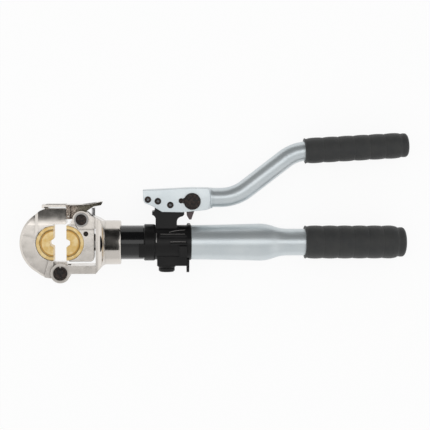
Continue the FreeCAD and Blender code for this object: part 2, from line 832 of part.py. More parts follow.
def build_cylinder():
    cylinder = Piece("cylinder")
    ring = "swivel_ring_left - side_play"
    cylinder.turn([
        ("cylinder_left", "bore_radius"),
        ("cylinder_left", "cylinder_radius"),
        ("housing_left - side_play", "cylinder_radius"),
        ("housing_left - side_play", "spigot_radius"),
        (ring, "spigot_radius"),
        (ring, "spigot_radius - ring_thick"),
        (ring + " + swivel_ring_wide + 2 * side_play", "spigot_radius - ring_thick"),
        (ring + " + swivel_ring_wide + 2 * side_play", "spigot_radius"),
        ("spigot_end", "spigot_radius"),
        ("spigot_end", "port_radius"),
        ("piston_left + piston_long + ring_thick", "port_radius"),
        ("piston_left + piston_long + ring_thick", "bore_radius"),
    ])
    housing = Piece("swivel_housing")
    housing.turn([
        ("housing_left", "spigot_radius + running_fit"),
        ("housing_left", "housing_radius - 1"),
        ("housing_left + 1", "housing_radius"),
        ("housing_right - 1", "housing_radius"),
        ("housing_right", "housing_radius - 1"),
        ("housing_right", "port_radius"),
        ("spigot_end + side_play", "port_radius"),
        ("spigot_end + side_play", "spigot_radius + running_fit"),
        ("swivel_ring_left + swivel_ring_wide", "spigot_radius + running_fit"),
        ("swivel_ring_left + swivel_ring_wide", "spigot_radius + ring_thick"),
        ("swivel_ring_left", "spigot_radius + ring_thick"),
        ("swivel_ring_left", "spigot_radius + running_fit"),
    ])
    outer = "cylinder_radius + side_play + guard_thick"
    inner = "cylinder_radius + side_play"
    housing.pad([[
        ("0", outer, outer, -1),
        ("0", inner),
        ("-guard_low", "sqrt((%s) ^ 2 - guard_low ^ 2)" % inner, inner, 1),
        ("-guard_low", "sqrt((%s) ^ 2 - guard_low ^ 2)" % outer),
    ]], "tongue_left", "housing_left + 2", "YZ_Plane")
    ring = Piece("swivel_ring")
    ring.turn(tube("swivel_ring_left + 0.05", "swivel_ring_left + swivel_ring_wide - 0.05",
                   "spigot_radius - ring_thick + side_play", "spigot_radius + ring_thick - 0.05"))


def build_pump():
    pump = Piece("pump_body")
    pump.turn([
        ("housing_right", "0"),
        ("housing_right", "pump_radius"),
        ("pump_right", "pump_radius"),
        ("pump_right", "thread_radius"),
        ("flange_right + spigot_long", "thread_radius"),
        ("flange_right + spigot_long", "0"),
    ])
    pump.pad([box("tower_left + 2", "-pump_block / 2", "pump_right", "pump_block / 2")],
             "-pump_floor", "0", "XZ_Plane")
    pump.pad([("boss_right", "0", "boss_radius")], "-boss_low", "0", "XZ_Plane")
    pump.slab([[
        ("tower_left", "0"),
        ("tower_right", "0"),
        ("tower_right", "head_low - 2.4 - notch_radius"),
        ("tower_right + notch_radius", "head_low - 2.4", "notch_radius", -1),
        ("head_right", "head_low"),
        ("head_right", "head_high"),
        ("pivot_right + pivot_lug", "head_high"),
        ("pivot_right + pivot_lug", "pivot_up"),
        ("pivot_right", "pivot_up + pivot_lug", "pivot_lug", 1),
        ("pivot_right - pivot_lug", "pivot_up", "pivot_lug", 1),
        ("pivot_right - pivot_lug / 2", "pivot_up - pivot_lug"),
        ("pivot_right - pivot_lug / 2", "head_high"),
        ("head_left", "head_high - 1"),
        ("head_left", "head_low - 0.4"),
        ("tower_left", "head_low - 5", "tower_notch", -1),
    ]], "tower_width")
    pump.slot([("pivot_right", "pivot_up", "pivot_radius + running_fit")], "tower_width + 2")
    pump.groove([
        ("chamber_floor", "0"),
        ("chamber_floor", "plunger_radius + running_fit"),
        ("head_high - gland_deep", "plunger_radius + running_fit"),
        ("head_high - gland_deep", "gland_radius + running_fit"),
        ("head_high + 1", "gland_radius + running_fit"),
        ("head_high + 1", "0"),
    ], "Y", ("plunger_right", "0"))
    pump.groove([
        ("-boss_low - 1", "0"),
        ("-boss_low - 1", "valve_radius + running_fit"),
        ("-valve_seat - valve_radius", "valve_radius + running_fit"),
        ("-valve_seat", "port_radius"),
        ("chamber_floor + 1", "port_radius"),
        ("chamber_floor + 1", "0"),
    ], "Y", ("boss_right", "0"))
    for up, start in (("rib_up", "tower_left + 5"), ("0", "plunger_right")):
        pump.pad([(up, "sqrt(pump_radius ^ 2 - (%s) ^ 2) - rib_radius / 4" % up, "rib_radius")],
                 start, "pump_right", "YZ_Plane")
    pump.pad([box("pump_right - 10", "-17.5", "pump_right", "-3")], "10", "pump_radius + 1.5")
    pump.groove([
        ("stem_foot - stem_spring", "0"),
        ("stem_foot - stem_spring", "stem_radius + running_fit"),
        ("thread_radius + 1", "stem_radius + running_fit"),
        ("thread_radius + 1", "0"),
    ], "Y", ("stem_right", "0"))
    pump.soften("Chamfer", "boss_bevel", lambda edge: round_edge(edge, "boss_radius", "-boss_low"))


def round_edge(edge, radius, up):
    """Tell whether an edge is a whole circle of the given radius, centred at the given height."""
    curve = edge.Curve
    if not edge.isClosed() or not isinstance(curve, Part.Circle):
        return False
    return abs(curve.Radius - number(radius)) < 1e-4 and abs(curve.Center.y - number(up)) < 1e-4


def build_pump_insides():
    cap = Piece("valve_cap")
    cap.turn([
        ("-cap_low", "0"),
        ("-cap_low", "boss_radius - 2.5"),
        ("-cap_low + 1.5", "boss_radius - 1"),
        ("-boss_low", "boss_radius - 1"),
        ("-boss_low", "valve_radius"),
        ("-boss_low + cap_thread", "valve_radius"),
        ("-boss_low + cap_thread", "0"),
    ], "Y", ("boss_right", "0"))
    cap.pocket([hexagon("boss_right", "0", "cap_socket")], "-cap_low", "-cap_low + 4", "XZ_Plane")
    ball = Piece("suction_ball")
    ball.turn([("-ball_radius", "0"), ("0", "ball_radius", "ball_radius", -1),
               ("ball_radius", "0", "ball_radius", -1)], "X",
              ("boss_right", "-valve_seat - ball_radius * 1.2"))
    spring = Piece("suction_spring")
    spring.coil("ball_radius * 0.7", "suction_wire", "0",
                "boss_low - cap_thread - valve_seat - ball_radius * 2.2", 5, "Y")
    spring.place("boss_right", "-boss_low + cap_thread")
    plunger = Piece("pump_plunger")
    plunger.turn(rod("plunger_foot", "eye_low + 1", "plunger_radius", "0.5"), "Y", ("plunger_right", "0"))
    plunger.slab([box("plunger_right - eye_half", "eye_low", "plunger_right + eye_half", "eye_top")],
                 "eye_width")
    half = "cross_radius + slot_play"
    left = "plunger_right - slot_travel"
    right = "plunger_right + slot_travel / 2"
    plunger.slot([stadium(left, right, "cross_up", half)], "eye_width + 2")
    gland = Piece("pump_gland")
    gland.turn(tube("head_high - gland_deep + 2", "head_high + side_play", "plunger_radius + running_fit",
                    "gland_radius"), "Y", ("plunger_right", "0"))
    seal = Piece("plunger_seal")
    seal.turn(tube("head_high - gland_deep", "head_high - gland_deep + 2", "plunger_radius + running_fit",
                   "gland_radius"), "Y", ("plunger_right", "0"))


def stadium(left, right, up, half):
    """Long round-ended hole between two arc centres."""
    return [
        (left, "%s - (%s)" % (up, half), half, 1),
        (right, "%s - (%s)" % (up, half)),
        ("%s + %s" % (right, half), up, half, 1),
        (right, "%s + %s" % (up, half), half, 1),
        (left, "%s + %s" % (up, half)),
        ("%s - (%s)" % (left, half), up, half, 1),
    ]


def hexagon(right, up, side):
    """Regular hexagon round a centre, its side also its corner radius."""
    return [("%s + %s * cos(%d)" % (right, side, angle), "%s + %s * sin(%d)" % (up, side, angle))
            for angle in range(0, 360, 60)]


def build_flange():
    flange = Piece("end_flange")
    flange.turn([
        ("pump_right", "thread_radius + running_fit"),
        ("pump_right", "flange_radius"),
        ("flange_right - 0.8", "flange_radius"),
        ("flange_right", "flange_radius - 0.8"),
        ("flange_right", "thread_radius + running_fit"),
    ])
    flange.pad([[
        ("-lug_down", "lug_radius", "lug_radius", -1),
        ("-thread_radius - 1", "2 * lug_radius"),
        ("-thread_radius - 1", "-2 * lug_radius"),
        ("-lug_down", "-lug_radius"),
        ("-lug_down - lug_radius", "0", "lug_radius", -1),
    ]], "pump_right", "pump_right + lug_thick", "YZ_Plane")
    flange.pocket([("-lug_down", "0", "lug_hole")], "pump_right - 1", "pump_right + lug_thick + 1",
                  "YZ_Plane")
    flange.groove([
        ("thread_radius - 1", "0"),
        ("thread_radius - 1", "stem_radius + running_fit"),
        ("flange_radius + 1", "stem_radius + running_fit"),
        ("flange_radius + 1", "0"),
    ], "Y", ("stem_right", "0"))
    stem = Piece("release_stem")
    stem.turn([
        ("stem_foot", "0"),
        ("stem_foot", "stem_radius"),
        ("stem_top - 0.6", "stem_radius"),
        ("stem_top", "stem_radius - 0.8"),
        ("stem_top", "0"),
    ], "Y", ("stem_right", "0"))
    spring = Piece("stem_coil")
    spring.coil("stem_radius - 0.6", "plunger_wire", "stem_foot - stem_spring", "stem_spring", 3, "Y",
                ("stem_right", "0"))


def build_tank():
    tank = Piece("tank_tube")
    reach = "(tank_neck_x - tank_bulge_x) / 2"
    drop = "(tank_bulge - tank_neck) / 2"
    bend = "((%s) ^ 2 + (%s) ^ 2) / (2 * %s)" % (reach, drop, drop)
    wall = "tank_wall"
    outer = [
        ("flange_right", "tank_start"),
        ("tank_middle_x", "tank_middle"),
        ("tank_bulge_x", "tank_bulge"),
        ("tank_bulge_x + " + reach, "tank_bulge - " + drop, bend, -1),
        ("tank_neck_x", "tank_neck", bend, 1),
        ("tank_end", "tank_neck"),
    ]
    inner = [
        ("tank_end", "tank_neck - " + wall),
        ("tank_neck_x", "tank_neck - " + wall),
        ("tank_bulge_x - 2", "tank_bulge - %s - 0.3" % wall),
        ("flange_right + spigot_long + 4", "thread_radius + running_fit"),
        ("flange_right", "thread_radius + running_fit"),
    ]
    tank.turn(outer + inner)
    plug = Piece("tube_plug")
    plug.turn(rod("tank_end - 10", "tank_end - 0.2", "tank_neck - tank_wall - running_fit", "0.5"))
    bladder = Piece("oil_bladder")
    left = "flange_right + spigot_long + bladder_gap"
    outer_radius = "thread_radius - 0.5"
    bladder.turn([
        (left, "%s - bladder_wall" % outer_radius),
        (left, outer_radius),
        ("bladder_right - 10", outer_radius),
        ("bladder_right", "%s - 10" % outer_radius, "10", -1),
        ("bladder_right", "0"),
        ("bladder_right - bladder_wall", "0"),
        ("bladder_right - bladder_wall", "%s - 10" % outer_radius),
        ("bladder_right - 10", "%s - bladder_wall" % outer_radius, "10 - bladder_wall", 1),
    ])
    suction = Piece("suction_tube")
    suction.turn(tube("flange_right + spigot_long", "flange_right + spigot_long + suction_long",
                      "suction_radius - 1", "suction_radius"))


def wavy(start, radius, deep, pitch, waves):
    """Corners of a grip's outside: shallow round swellings that meet in narrow valleys.

    Each swelling is an arc of sagitta 2 * deep over one pitch, so its radius is
    ((pitch / 2) ^ 2 + (2 * deep) ^ 2) / (4 * deep).
    """
    arc = "((%s / 2) ^ 2 + (2 * %s) ^ 2) / (4 * %s)" % (pitch, deep, deep)
    valley = "%s - %s" % (radius, deep)
    corners = [(start, valley)]
    for wave in range(1, waves + 1):
        corners.append(("%s + %d * %s" % (start, wave, pitch), valley, arc, -1))
    return corners


def build_lower_grip():
    grip = Piece("lower_grip")
    waves = int(SIZES["grip_waves"])
    start = "grip_left + grip_mouth"
    end = "%s + grip_waves * grip_wave" % start
    inner = "tank_neck + die_clearance"
    grip.turn([("grip_left", inner), ("grip_left", "grip_radius"), ("grip_left + 1.5", "grip_radius + 0.6"),
               ("grip_left + 3.5", "grip_radius + 0.4")]
              + wavy(start, "grip_radius", "grip_wave_deep", "grip_wave", waves)
              + [
                  (end + " + grip_cap", "grip_radius - 0.4"),
                  (end + " + grip_cap + 3.5", "grip_radius - 3.9", "3.5", -1),
                  (end + " + grip_cap + 3.5", "0"),
                  ("tank_end", "0"),
                  ("tank_end", inner),
              ])


def build_lever():
    clevis = Piece("lever_clevis")
    clevis.slab([[
        ("clevis_left + 0.5", "clevis_roof - 7.4"),
        ("clevis_left + 2.6", "clevis_roof - 11"),
        ("clevis_left + 11.5", "clevis_roof - 14.5"),
        ("clevis_left + 24.7", "clevis_low"),
        ("tower_right + 7", "clevis_low - 0.4"),
        ("clevis_end - 6", "tube_up - tube_radius - 3"),
        ("clevis_end + 4", "tube_up - tube_radius - 1"),
        ("clevis_end + 4", "tube_up + tube_radius"),
        ("clevis_end - 6", "clevis_rise - 0.3"),
        ("knob_right", "clevis_rise"),
        ("clevis_left", "clevis_top"),
    ]], "clevis_width")
    clevis.slot([[
        ("clevis_left - 1", "clevis_low - 2"),
        ("knob_right + finger_hub + 1.5", "clevis_low - 2"),
        ("knob_right + finger_hub + 1.5", "clevis_roof"),
        ("clevis_left - 1", "clevis_roof"),
    ]], "clevis_width - 2 * cheek")
    clevis.groove([
        ("clevis_end - 10", "clevis_width"),
        ("clevis_end + 2", "tube_radius + 2"),
        ("clevis_end + 5", "tube_radius + 2"),
        ("clevis_end + 5", "clevis_width"),
    ], "X", ("0", "tube_up"))
    clevis.groove(rod("tube_start", "clevis_end + 6", "tube_radius + running_fit", "0.1"), "X",
                  ("0", "tube_up"))
    for right, up, radius in (("pivot_right", "pivot_up", "pivot_radius"),
                              ("plunger_right", "cross_up", "cross_radius"),
                              ("spacer_right", "spacer_up", "spacer_radius"),
                              ("knob_right", "knob_up", "knob_shaft")):
        clevis.slot([(right, up, radius + " + running_fit")], "clevis_width + 2")
    build_lever_tube()
    pinned("pivot_pin", "pivot_right", "pivot_up", "pivot_radius", "pin_cap", "clevis_width")
    pinned("cross_pin", "plunger_right", "cross_up", "cross_radius", "pin_cap", "clevis_width")
    pinned("spacer_pin", "spacer_right", "spacer_up", "spacer_radius", "pin_cap", "clevis_width")


def build_lever_tube():
    """Bent tube: a level run, a rising run and a nearly level crest, joined by tangent arcs."""
    lever = Piece("lever_tube")
    first = "bend_radius * tan(bend_angle / 2)"
    second = "crest_radius * tan((bend_angle - crest_angle) / 2)"
    path = [
        ("tube_start + 0.2", "tube_up"),
        ("bend_right - " + first, "tube_up"),
        ("bend_right + %s * cos(bend_angle)" % first, "tube_up + %s * sin(bend_angle)" % first,
         "bend_radius", 1),
        ("crest_right - %s * cos(bend_angle)" % second, "%s - %s * sin(bend_angle)" % (CREST_UP, second)),
        ("crest_right + %s * cos(crest_angle)" % second, "%s + %s * sin(crest_angle)" % (CREST_UP, second),
         "crest_radius", -1),
        ("crest_right + crest_long * cos(crest_angle)", CREST_UP + " + crest_long * sin(crest_angle)"),
    ]
    spine = lever.sketch("XY_Plane", [path], closed=False)
    ring = lever.sketch("YZ_Plane", [("tube_up", "0", "tube_radius"),
                                     ("tube_up", "0", "tube_radius - tube_wall")],
                        ("0", "0", "tube_start + 0.2"))
    pipe = lever.body.newObject("PartDesign::AdditivePipe", lever.name("pipe"))
    pipe.Profile = ring
    pipe.Spine = (spine, ["Edge%d" % (index + 1) for index in range(len(path) - 1)])
    lever.finish(pipe)


CREST_UP = "tube_up + (crest_right - bend_right) * tan(bend_angle)"


def build_upper_grip():
    grip = Piece("upper_grip")
    length = "crest_long - upper_grip_start"
    waves = int(SIZES["grip_waves"])
    inner = "tube_radius + die_clearance"
    end = "4 + grip_waves * upper_grip_wave"
    grip.turn([("0", inner), ("0", "upper_grip_radius"), ("1.2", "upper_grip_radius + 0.5"),
               ("2.8", "upper_grip_radius + 0.3")]
              + wavy("4", "upper_grip_radius", "grip_wave_deep", "upper_grip_wave", waves)
              + [
                  (end + " + upper_grip_cap", "upper_grip_radius - 0.4"),
                  (end + " + upper_grip_cap + 3", "upper_grip_radius - 3.4", "3", -1),
                  (end + " + upper_grip_cap + 3", "0"),
                  (length, "0"),
                  (length, inner),
              ])
    grip.place("crest_right + upper_grip_start * cos(crest_angle)",
               CREST_UP + " + upper_grip_start * sin(crest_angle)", "crest_angle")


def build_release():
    at = ("knob_right", "knob_up")
    knob = Piece("release_knob")
    low = "clevis_width / 2 + side_play"
    knob.turn([
        ("-clevis_width / 2 - side_play - ring_thick", "0"),
        ("-clevis_width / 2 - side_play - ring_thick", "knob_shaft + 2"),
        ("-clevis_width / 2 - side_play", "knob_shaft + 2"),
        ("-clevis_width / 2 - side_play", "knob_shaft"),
        (low, "knob_shaft"),
        (low, "knob_radius"),
        (low + " + knob_thick - 2", "knob_radius"),
        (low + " + knob_thick - 0.6", "knob_radius - 1.2"),
        (low + " + knob_thick", "0"),
    ], "Z", at)
    tip = "knob_right - nose_reach"
    knob.pad([[
        ("knob_right", "knob_up - nose_root"),
        ("knob_right", "knob_up + nose_root"),
        (tip + " + nose_radius", "knob_up + nose_rise + nose_radius"),
        (tip, "knob_up + nose_rise", "nose_radius", 1),
        (tip + " + nose_radius", "knob_up + nose_rise - nose_radius", "nose_radius", 1),
    ]], low, low + " + knob_thick - 2")
    finger = Piece("release_finger")
    finger.slab([[
        ("knob_right - finger_hub", "knob_up", "finger_hub", 1),
        ("finger_left", "finger_low + 5"),
        ("finger_left + 3", "finger_low"),
        ("finger_right", "finger_low"),
        ("knob_right + finger_hub", "knob_up"),
        ("knob_right", "knob_up + finger_hub", "finger_hub", 1),
    ]], "finger_width")
    finger.slot([("knob_right", "knob_up", "knob_shaft + running_fit / 2")], "finger_width + 2")


def main():
    build_dies()
    build_yoke()
    build_yoke_plunger()
    build_hinge_pin()
    build_frame()
    build_latch()
    build_ram()
    build_cylinder()
    build_pump()
    build_pump_insides()
    build_flange()
    build_tank()
    build_lower_grip()
    build_lever()
    build_upper_grip()
    build_release()
    export()


def export():
    """Check every object, then write one STEP file to a piece."""
    doc.recompute()
    for item in doc.Objects:
        if "Invalid" in item.State or "Error" in item.State:
            raise RuntimeError("object failed: " + item.Name)
    os.makedirs("parts", exist_ok=True)
    for piece in PIECES:
        shape = piece.body.Shape
        if shape.isNull() or not shape.isValid():
            raise RuntimeError("bad shape: " + piece.body.Label)
        shape.exportStep("parts/%s.step" % piece.body.Label)
        print(piece.body.Label, len(shape.Solids), round(shape.Volume))


main()
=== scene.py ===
"""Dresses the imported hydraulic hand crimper: finishes, grips, small fittings, and the studio it lies in.

Lengths are in metres in the CAD frame. +X runs along the tool to the grips, +Y points from the tank to
the pump lever, and +Z towards the camera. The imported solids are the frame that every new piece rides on.
"""

import json
import logging
import math
from dataclasses import dataclass
from enum import Enum
from functools import partial

import bmesh
import bpy
import numpy as np
from mathutils import Matrix, Vector
from mathutils.bvhtree import BVHTree
from numpy.typing import NDArray


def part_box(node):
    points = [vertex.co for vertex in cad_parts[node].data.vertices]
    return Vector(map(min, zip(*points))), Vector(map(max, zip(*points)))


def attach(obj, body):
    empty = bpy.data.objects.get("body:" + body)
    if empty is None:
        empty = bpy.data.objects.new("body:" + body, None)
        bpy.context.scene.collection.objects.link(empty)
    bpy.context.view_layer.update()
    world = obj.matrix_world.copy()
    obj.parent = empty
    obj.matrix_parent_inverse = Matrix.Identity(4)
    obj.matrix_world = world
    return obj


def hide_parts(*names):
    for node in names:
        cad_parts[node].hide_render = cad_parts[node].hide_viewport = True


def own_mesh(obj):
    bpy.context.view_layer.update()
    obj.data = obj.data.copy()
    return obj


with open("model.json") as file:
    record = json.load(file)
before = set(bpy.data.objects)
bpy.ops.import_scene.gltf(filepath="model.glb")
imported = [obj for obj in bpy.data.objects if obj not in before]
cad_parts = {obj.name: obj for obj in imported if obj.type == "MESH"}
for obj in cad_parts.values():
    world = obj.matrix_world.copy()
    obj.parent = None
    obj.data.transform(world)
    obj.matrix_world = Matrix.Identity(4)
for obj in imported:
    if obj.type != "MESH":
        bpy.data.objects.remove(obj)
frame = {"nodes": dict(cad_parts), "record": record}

LOG = logging.getLogger("crimper")
Grid = NDArray[np.float64]
Thing = bpy.types.Object
Socket = bpy.types.NodeSocket
MM = 0.001
SMOOTH = {"interpolation_type": "SMOOTHSTEP"}
COLOURS = {"data_type": "RGBA"}
DOWN = (0.0, 0.0, -1.0)


def linear(code: str) -> tuple[float, float, float, float]:
    """Turn an sRGB hex colour into the linear colour that a socket takes.

    Args:
        code: Six hex digits after a hash sign.

    Returns:
        Red, green and blue as light, and an alpha of 1.
    """
    parts = [int(code[place:place + 2], 16) / 255 for place in (1, 3, 5)]
    light = [part / 12.92 if part <= 0.04045 else ((part + 0.055) / 1.055) ** 2.4 for part in parts]
    return light[0], light[1], light[2], 1.0


def add_node(tree: bpy.types.NodeTree, kind: str, settings: dict[str, object] | None = None,
             feeds: dict[str | int, object] | None = None) -> bpy.types.Node:
    """Add one shader node.

    Args:
        tree: Node tree that takes the node.
        kind: Type of the node, without the ShaderNode that Blender puts before it.
        settings: The node's own properties.
        feeds: Inputs by name or number, each a plain value or the output that is linked to it.

    Returns:
        The new node.
    """
    node = tree.nodes.new("ShaderNode" + kind)
    for name, value in (settings or {}).items():
        setattr(node, name, value)
    for name, value in (feeds or {}).items():
        if isinstance(value, Socket):
            tree.links.new(value, node.inputs[name])
        else:
            node.inputs[name].default_value = value
    return node


def ramp(value: Socket, low: float, high: float, first: float = 0.0, last: float = 1.0) -> dict[str, object]:
    """Name the inputs of a map that goes from first to last while its value goes from low to high."""
    return {"Value": value, "From Min": low, "From Max": high, "To Min": first, "To Max": last}


def smooth(share: Grid) -> Grid:
    """Give 3u^2 - 2u^3, which leaves 0 and reaches 1 without a kink."""
    return share * share * (3 - 2 * share)


def put_up(name: str, data: bpy.types.ID) -> Thing:
    """Make an object and link it to the scene.

    Args:
        name: Its name.
        data: Its mesh, lamp or camera.

    Returns:
        The object, at the origin.
    """
    thing = bpy.data.objects.new(name, data)
    bpy.context.scene.collection.objects.link(thing)
    return thing


def make_mesh(name: str, points: Grid, faces: list[tuple[int, ...]] | Grid) -> Thing:
    """Make a smooth-shaded object whose faces point outwards.

    The volume under the faces is the sum of a . (b x c) / 6 over their triangles. Where it comes out
    negative, every face is turned over.

    Args:
        name: Name of the object and its mesh.
        points: Corner points, one to a row.
        faces: Corner numbers of each face.

    Returns:
        The object, linked to the scene.
    """
    mesh = bpy.data.meshes.new(name)
    mesh.from_pydata(points.tolist(), [], [tuple(face) for face in faces])
    mesh.calc_loop_triangles()
    corners = np.empty(len(mesh.loop_triangles) * 3, np.int32)
    mesh.loop_triangles.foreach_get("vertices", corners)
    first, second, third = points[corners.reshape(-1, 3)].transpose(1, 0, 2)
    if np.einsum("ij,ij->i", first, np.cross(second, third)).sum() < 0:
        mesh.flip_normals()
    mesh.polygons.foreach_set("use_smooth", np.ones(len(mesh.polygons), bool))
    mesh.update()
    return put_up(name, mesh)


def ring_faces(rows: int, columns: int) -> list[tuple[int, ...]]:
    """Number the quads of a grid whose columns close into rings, with a fan's ring left open at each end.

    Args:
        rows: Rings along the surface.
        columns: Points round each ring.

    Returns:
        Corner numbers of every quad.
    """
    row, column = np.meshgrid(np.arange(rows - 1), np.arange(columns), indexing="ij")
    after = (column + 1) % columns
    quads = np.stack([row * columns + column, row * columns + after,
                      (row + 1) * columns + after, (row + 1) * columns + column], axis=-1)
    return [tuple(quad) for quad in quads.reshape(-1, 4).tolist()]


def closed_tube(name: str, rings: Grid) -> Thing:
    """Skin a grid of rings and close both ends with a fan round the mean point of the end ring.

    Args:
        name: Name of the new object.
        rings: Points as rings x points round a ring x 3.

    Returns:
        A closed object.
    """
    rows, columns = rings.shape[:2]
    points = np.concatenate([rings.reshape(-1, 3), rings[:1].mean(axis=1), rings[-1:].mean(axis=1)])
    faces = ring_faces(rows, columns)
    last = (rows - 1) * columns
    for column in range(columns):
        after = (column + 1) % columns
        faces.append((rows * columns, after, column))
        faces.append((rows * columns + 1, last + column, last + after))
    return make_mesh(name, points, faces)


def copy_solid(node: str, name: str) -> Thing:
    """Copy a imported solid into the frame, its loose triangles joined and its arcs shaded smooth.

    Args:
        node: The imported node.
        name: Name of the copy.

    Returns:
        The copy, at the origin and unturned.
    """
    source = frame["nodes"][node]
    mesh = source.data.copy()
    mesh.transform(source.matrix_world)
    thing = put_up(name, mesh)
    weld(thing)
    return thing


def ray_hits(mesh: bpy.types.Mesh, starts: Grid, way: tuple[float, float, float]) -> list[Vector | None]:
    """Shoot a ray from each start.

    Args:
        mesh: What the rays can meet.
        starts: Where they start, one to a row.
        way: Their direction.

    Returns:
        Where each first meets the mesh, or None where it misses.
    """
    points = [tuple(point.co) for point in mesh.vertices]
    tree = BVHTree.FromPolygons(points, [tuple(face.vertices) for face in mesh.polygons])
    return [tree.ray_cast(Vector(start), Vector(way))[0] for start in starts.tolist()]


def weld(thing: Thing) -> None:
    """Join points that coincide, and keep as sharp only the edges that turn by more than 28 degrees."""
    work = bmesh.new()
    work.from_mesh(thing.data)
    bmesh.ops.remove_doubles(work, verts=work.verts, dist=2e-6)
    bmesh.ops.recalc_face_normals(work, faces=work.faces)
    work.to_mesh(thing.data)
    work.free()
    if thing.data.has_custom_normals:
        thing.data.attributes.remove(thing.data.attributes["custom_normal"])
    thing.data.polygons.foreach_set("use_smooth", np.ones(len(thing.data.polygons), bool))
    thing.data.set_sharp_from_angle(angle=math.radians(28.0))


def carve(thing: Thing, tool: Thing, operation: str) -> None:
    """Cut a tool from a thing, or join it on, and take the tool away.

    Args:
        thing: The closed piece that changes.
        tool: The closed piece that cuts or joins.
        operation: DIFFERENCE or UNION.
    """
    change = thing.modifiers.new("carve", "BOOLEAN")
    change.operation, change.solver, change.object = operation, "MANIFOLD", tool
    done = thing.evaluated_get(bpy.context.evaluated_depsgraph_get())
    mesh = bpy.data.meshes.new_from_object(done)
    thing.modifiers.clear()
    thing.data = mesh
    bpy.data.objects.remove(tool)
    weld(thing)


@dataclass(frozen=True)
class Patches:
    """Two colours in clouds, so many to a metre.

    The share of the pale one is a noise, or the noise's smoothstep between two edges.
    """

    scale: float
    detail: float
    dark: str
    pale: str
    edges: tuple[float, float] | None = None


class Finish:
    """One real surface finish, made once as a material and shared by its pieces."""

    name = ""
    base = "#808080"
    metallic = 0.0
    roughness = 0.5
    edge = 0.35 * MM
    extra: dict[str, float] = {}
    patches: Patches | None = None

    def __init__(self) -> None:
        """Build the shader, its edge rounding and its patches, then let the finish dress it."""
        self.material = bpy.data.materials.new(self.name)
        self.material.use_nodes = True
        self.tree = self.material.node_tree
        self.add = partial(add_node, self.tree)
        self.skin = self.tree.nodes["Principled BSDF"]
        values = {"Base Color": linear(self.base), "Metallic": self.metallic, "Roughness": self.roughness}
        for socket, value in (values | self.extra).items():
            self.skin.inputs[socket].default_value = value
        self.place = self.add("TexCoord").outputs["Object"]
        self.worn = self.add("Bevel", {"samples": 6}, {"Radius": self.edge}).outputs["Normal"]
        self.feed("Normal", self.worn)
        if self.patches:
            self.cloud, self.tint = self.mottle(self.patches)
            self.feed("Base Color", self.tint)
        self.dress()

    def dress(self) -> None:
        """Add what this finish shows beyond its base colour and its patches."""

    def feed(self, socket: str, source: Socket) -> None:
        """Link an output to one of the shader's sockets."""
        self.tree.links.new(source, self.skin.inputs[socket])

    def pattern(self, scale: float, **more: float) -> dict[str, object]:
        """Name the inputs of a pattern that has so many grains to a metre of the object."""
        return {"Vector": self.place, "Scale": scale} | more

    def mottle(self, patches: Patches) -> tuple[Socket, Socket]:
        """Lay patches over the surface.

        Args:
            patches: Their size and colours.

        Returns:
            Their noise and their colour.
        """
        noise = self.add("TexNoise", {}, self.pattern(patches.scale, Detail=patches.detail)).outputs["Fac"]
        share = noise
        if patches.edges:
            share = self.add("MapRange", SMOOTH, ramp(noise, *patches.edges)).outputs["Result"]
        tint = self.add("Mix", COLOURS, {0: share, 6: linear(patches.dark), 7: linear(patches.pale)})
        return noise, tint.outputs[2]

    def relief(self, height: Socket, strength: float, distance: float, below: Socket | None = None) -> Socket:
        """Stand a pattern in relief on the rounded edges, or on another relief.

        Args:
            height: The pattern.
            strength: Share of its full effect.
            distance: Height of the pattern in metres.
            below: Normal of the relief under it.

        Returns:
            The normal, which the skin takes too.
        """
        bump = self.add("Bump", {}, {"Height": height, "Strength": strength, "Distance": distance,
                                     "Normal": below or self.worn})
        self.feed("Normal", bump.outputs["Normal"])
        return bump.outputs["Normal"]

    def roughen(self, source: Socket, first: float, last: float, low: float = 0.0,
                high: float = 1.0) -> None:
        """Let the roughness go from first to last while a pattern goes from low to high."""
        level = self.add("MapRange", {}, ramp(source, low, high, first, last))
        self.feed("Roughness", level.outputs["Result"])

    def paint_corner_shade(self, tint: Socket | tuple[float, ...], corner_shade: str, reach: float) -> None:
        """Colour the skin, and darken it in corners with painted shade.

        Args:
            tint: The clean colour.
            corner_shade: Colour of the painted shade in the corners.
            reach: How far from a corner it goes, in metres.
        """
        # Painted shade: ambient occlusion pulls the colour towards the shade colour near every corner.
        near = self.add("AmbientOcclusion", {"samples": 8}, {"Distance": reach})
        worn = self.add("Mix", COLOURS, {0: near.outputs["AO"], 6: linear(corner_shade), 7: tint})
        self.feed("Base Color", worn.outputs[2])

    def paint(self, *things: Thing) -> None:
        """Give this finish to every material slot of the things."""
        for thing in things:
            thing.data.materials.clear()
            thing.data.materials.append(self.material)


class SatinChrome(Finish):
    """Satin chrome on a belt-ground forging: warm silver with broad soft reflections."""

    name = "satin_chrome_on_forging"
    base = "#D9D3CC"
    metallic = 1.0
    roughness = 0.2
    edge = 0.7 * MM

    def dress(self) -> None:
        """Forging unevenness 11 mm across, blasted grain 0.5 mm across, and a patchy roughness.

        The grain of real satin chrome is near 0.05 mm. It is drawn ten times coarser to show at all.
        Painted shade darkens the corners where two pieces meet.
        """
        swell = self.add("TexNoise", {}, self.pattern(90.0, Detail=1.0)).outputs["Fac"]
        grain = self.add("TexNoise", {}, self.pattern(2000.0, Detail=3.0)).outputs["Fac"]
        self.roughen(swell, 0.15, 0.25, 0.3, 0.7)
        self.relief(grain, 0.1, 0.00005, self.relief(swell, 0.2, 0.0004))
        # Painted shade in the corners.
        self.paint_corner_shade(linear(self.base), "#2C2620", 0.0035)


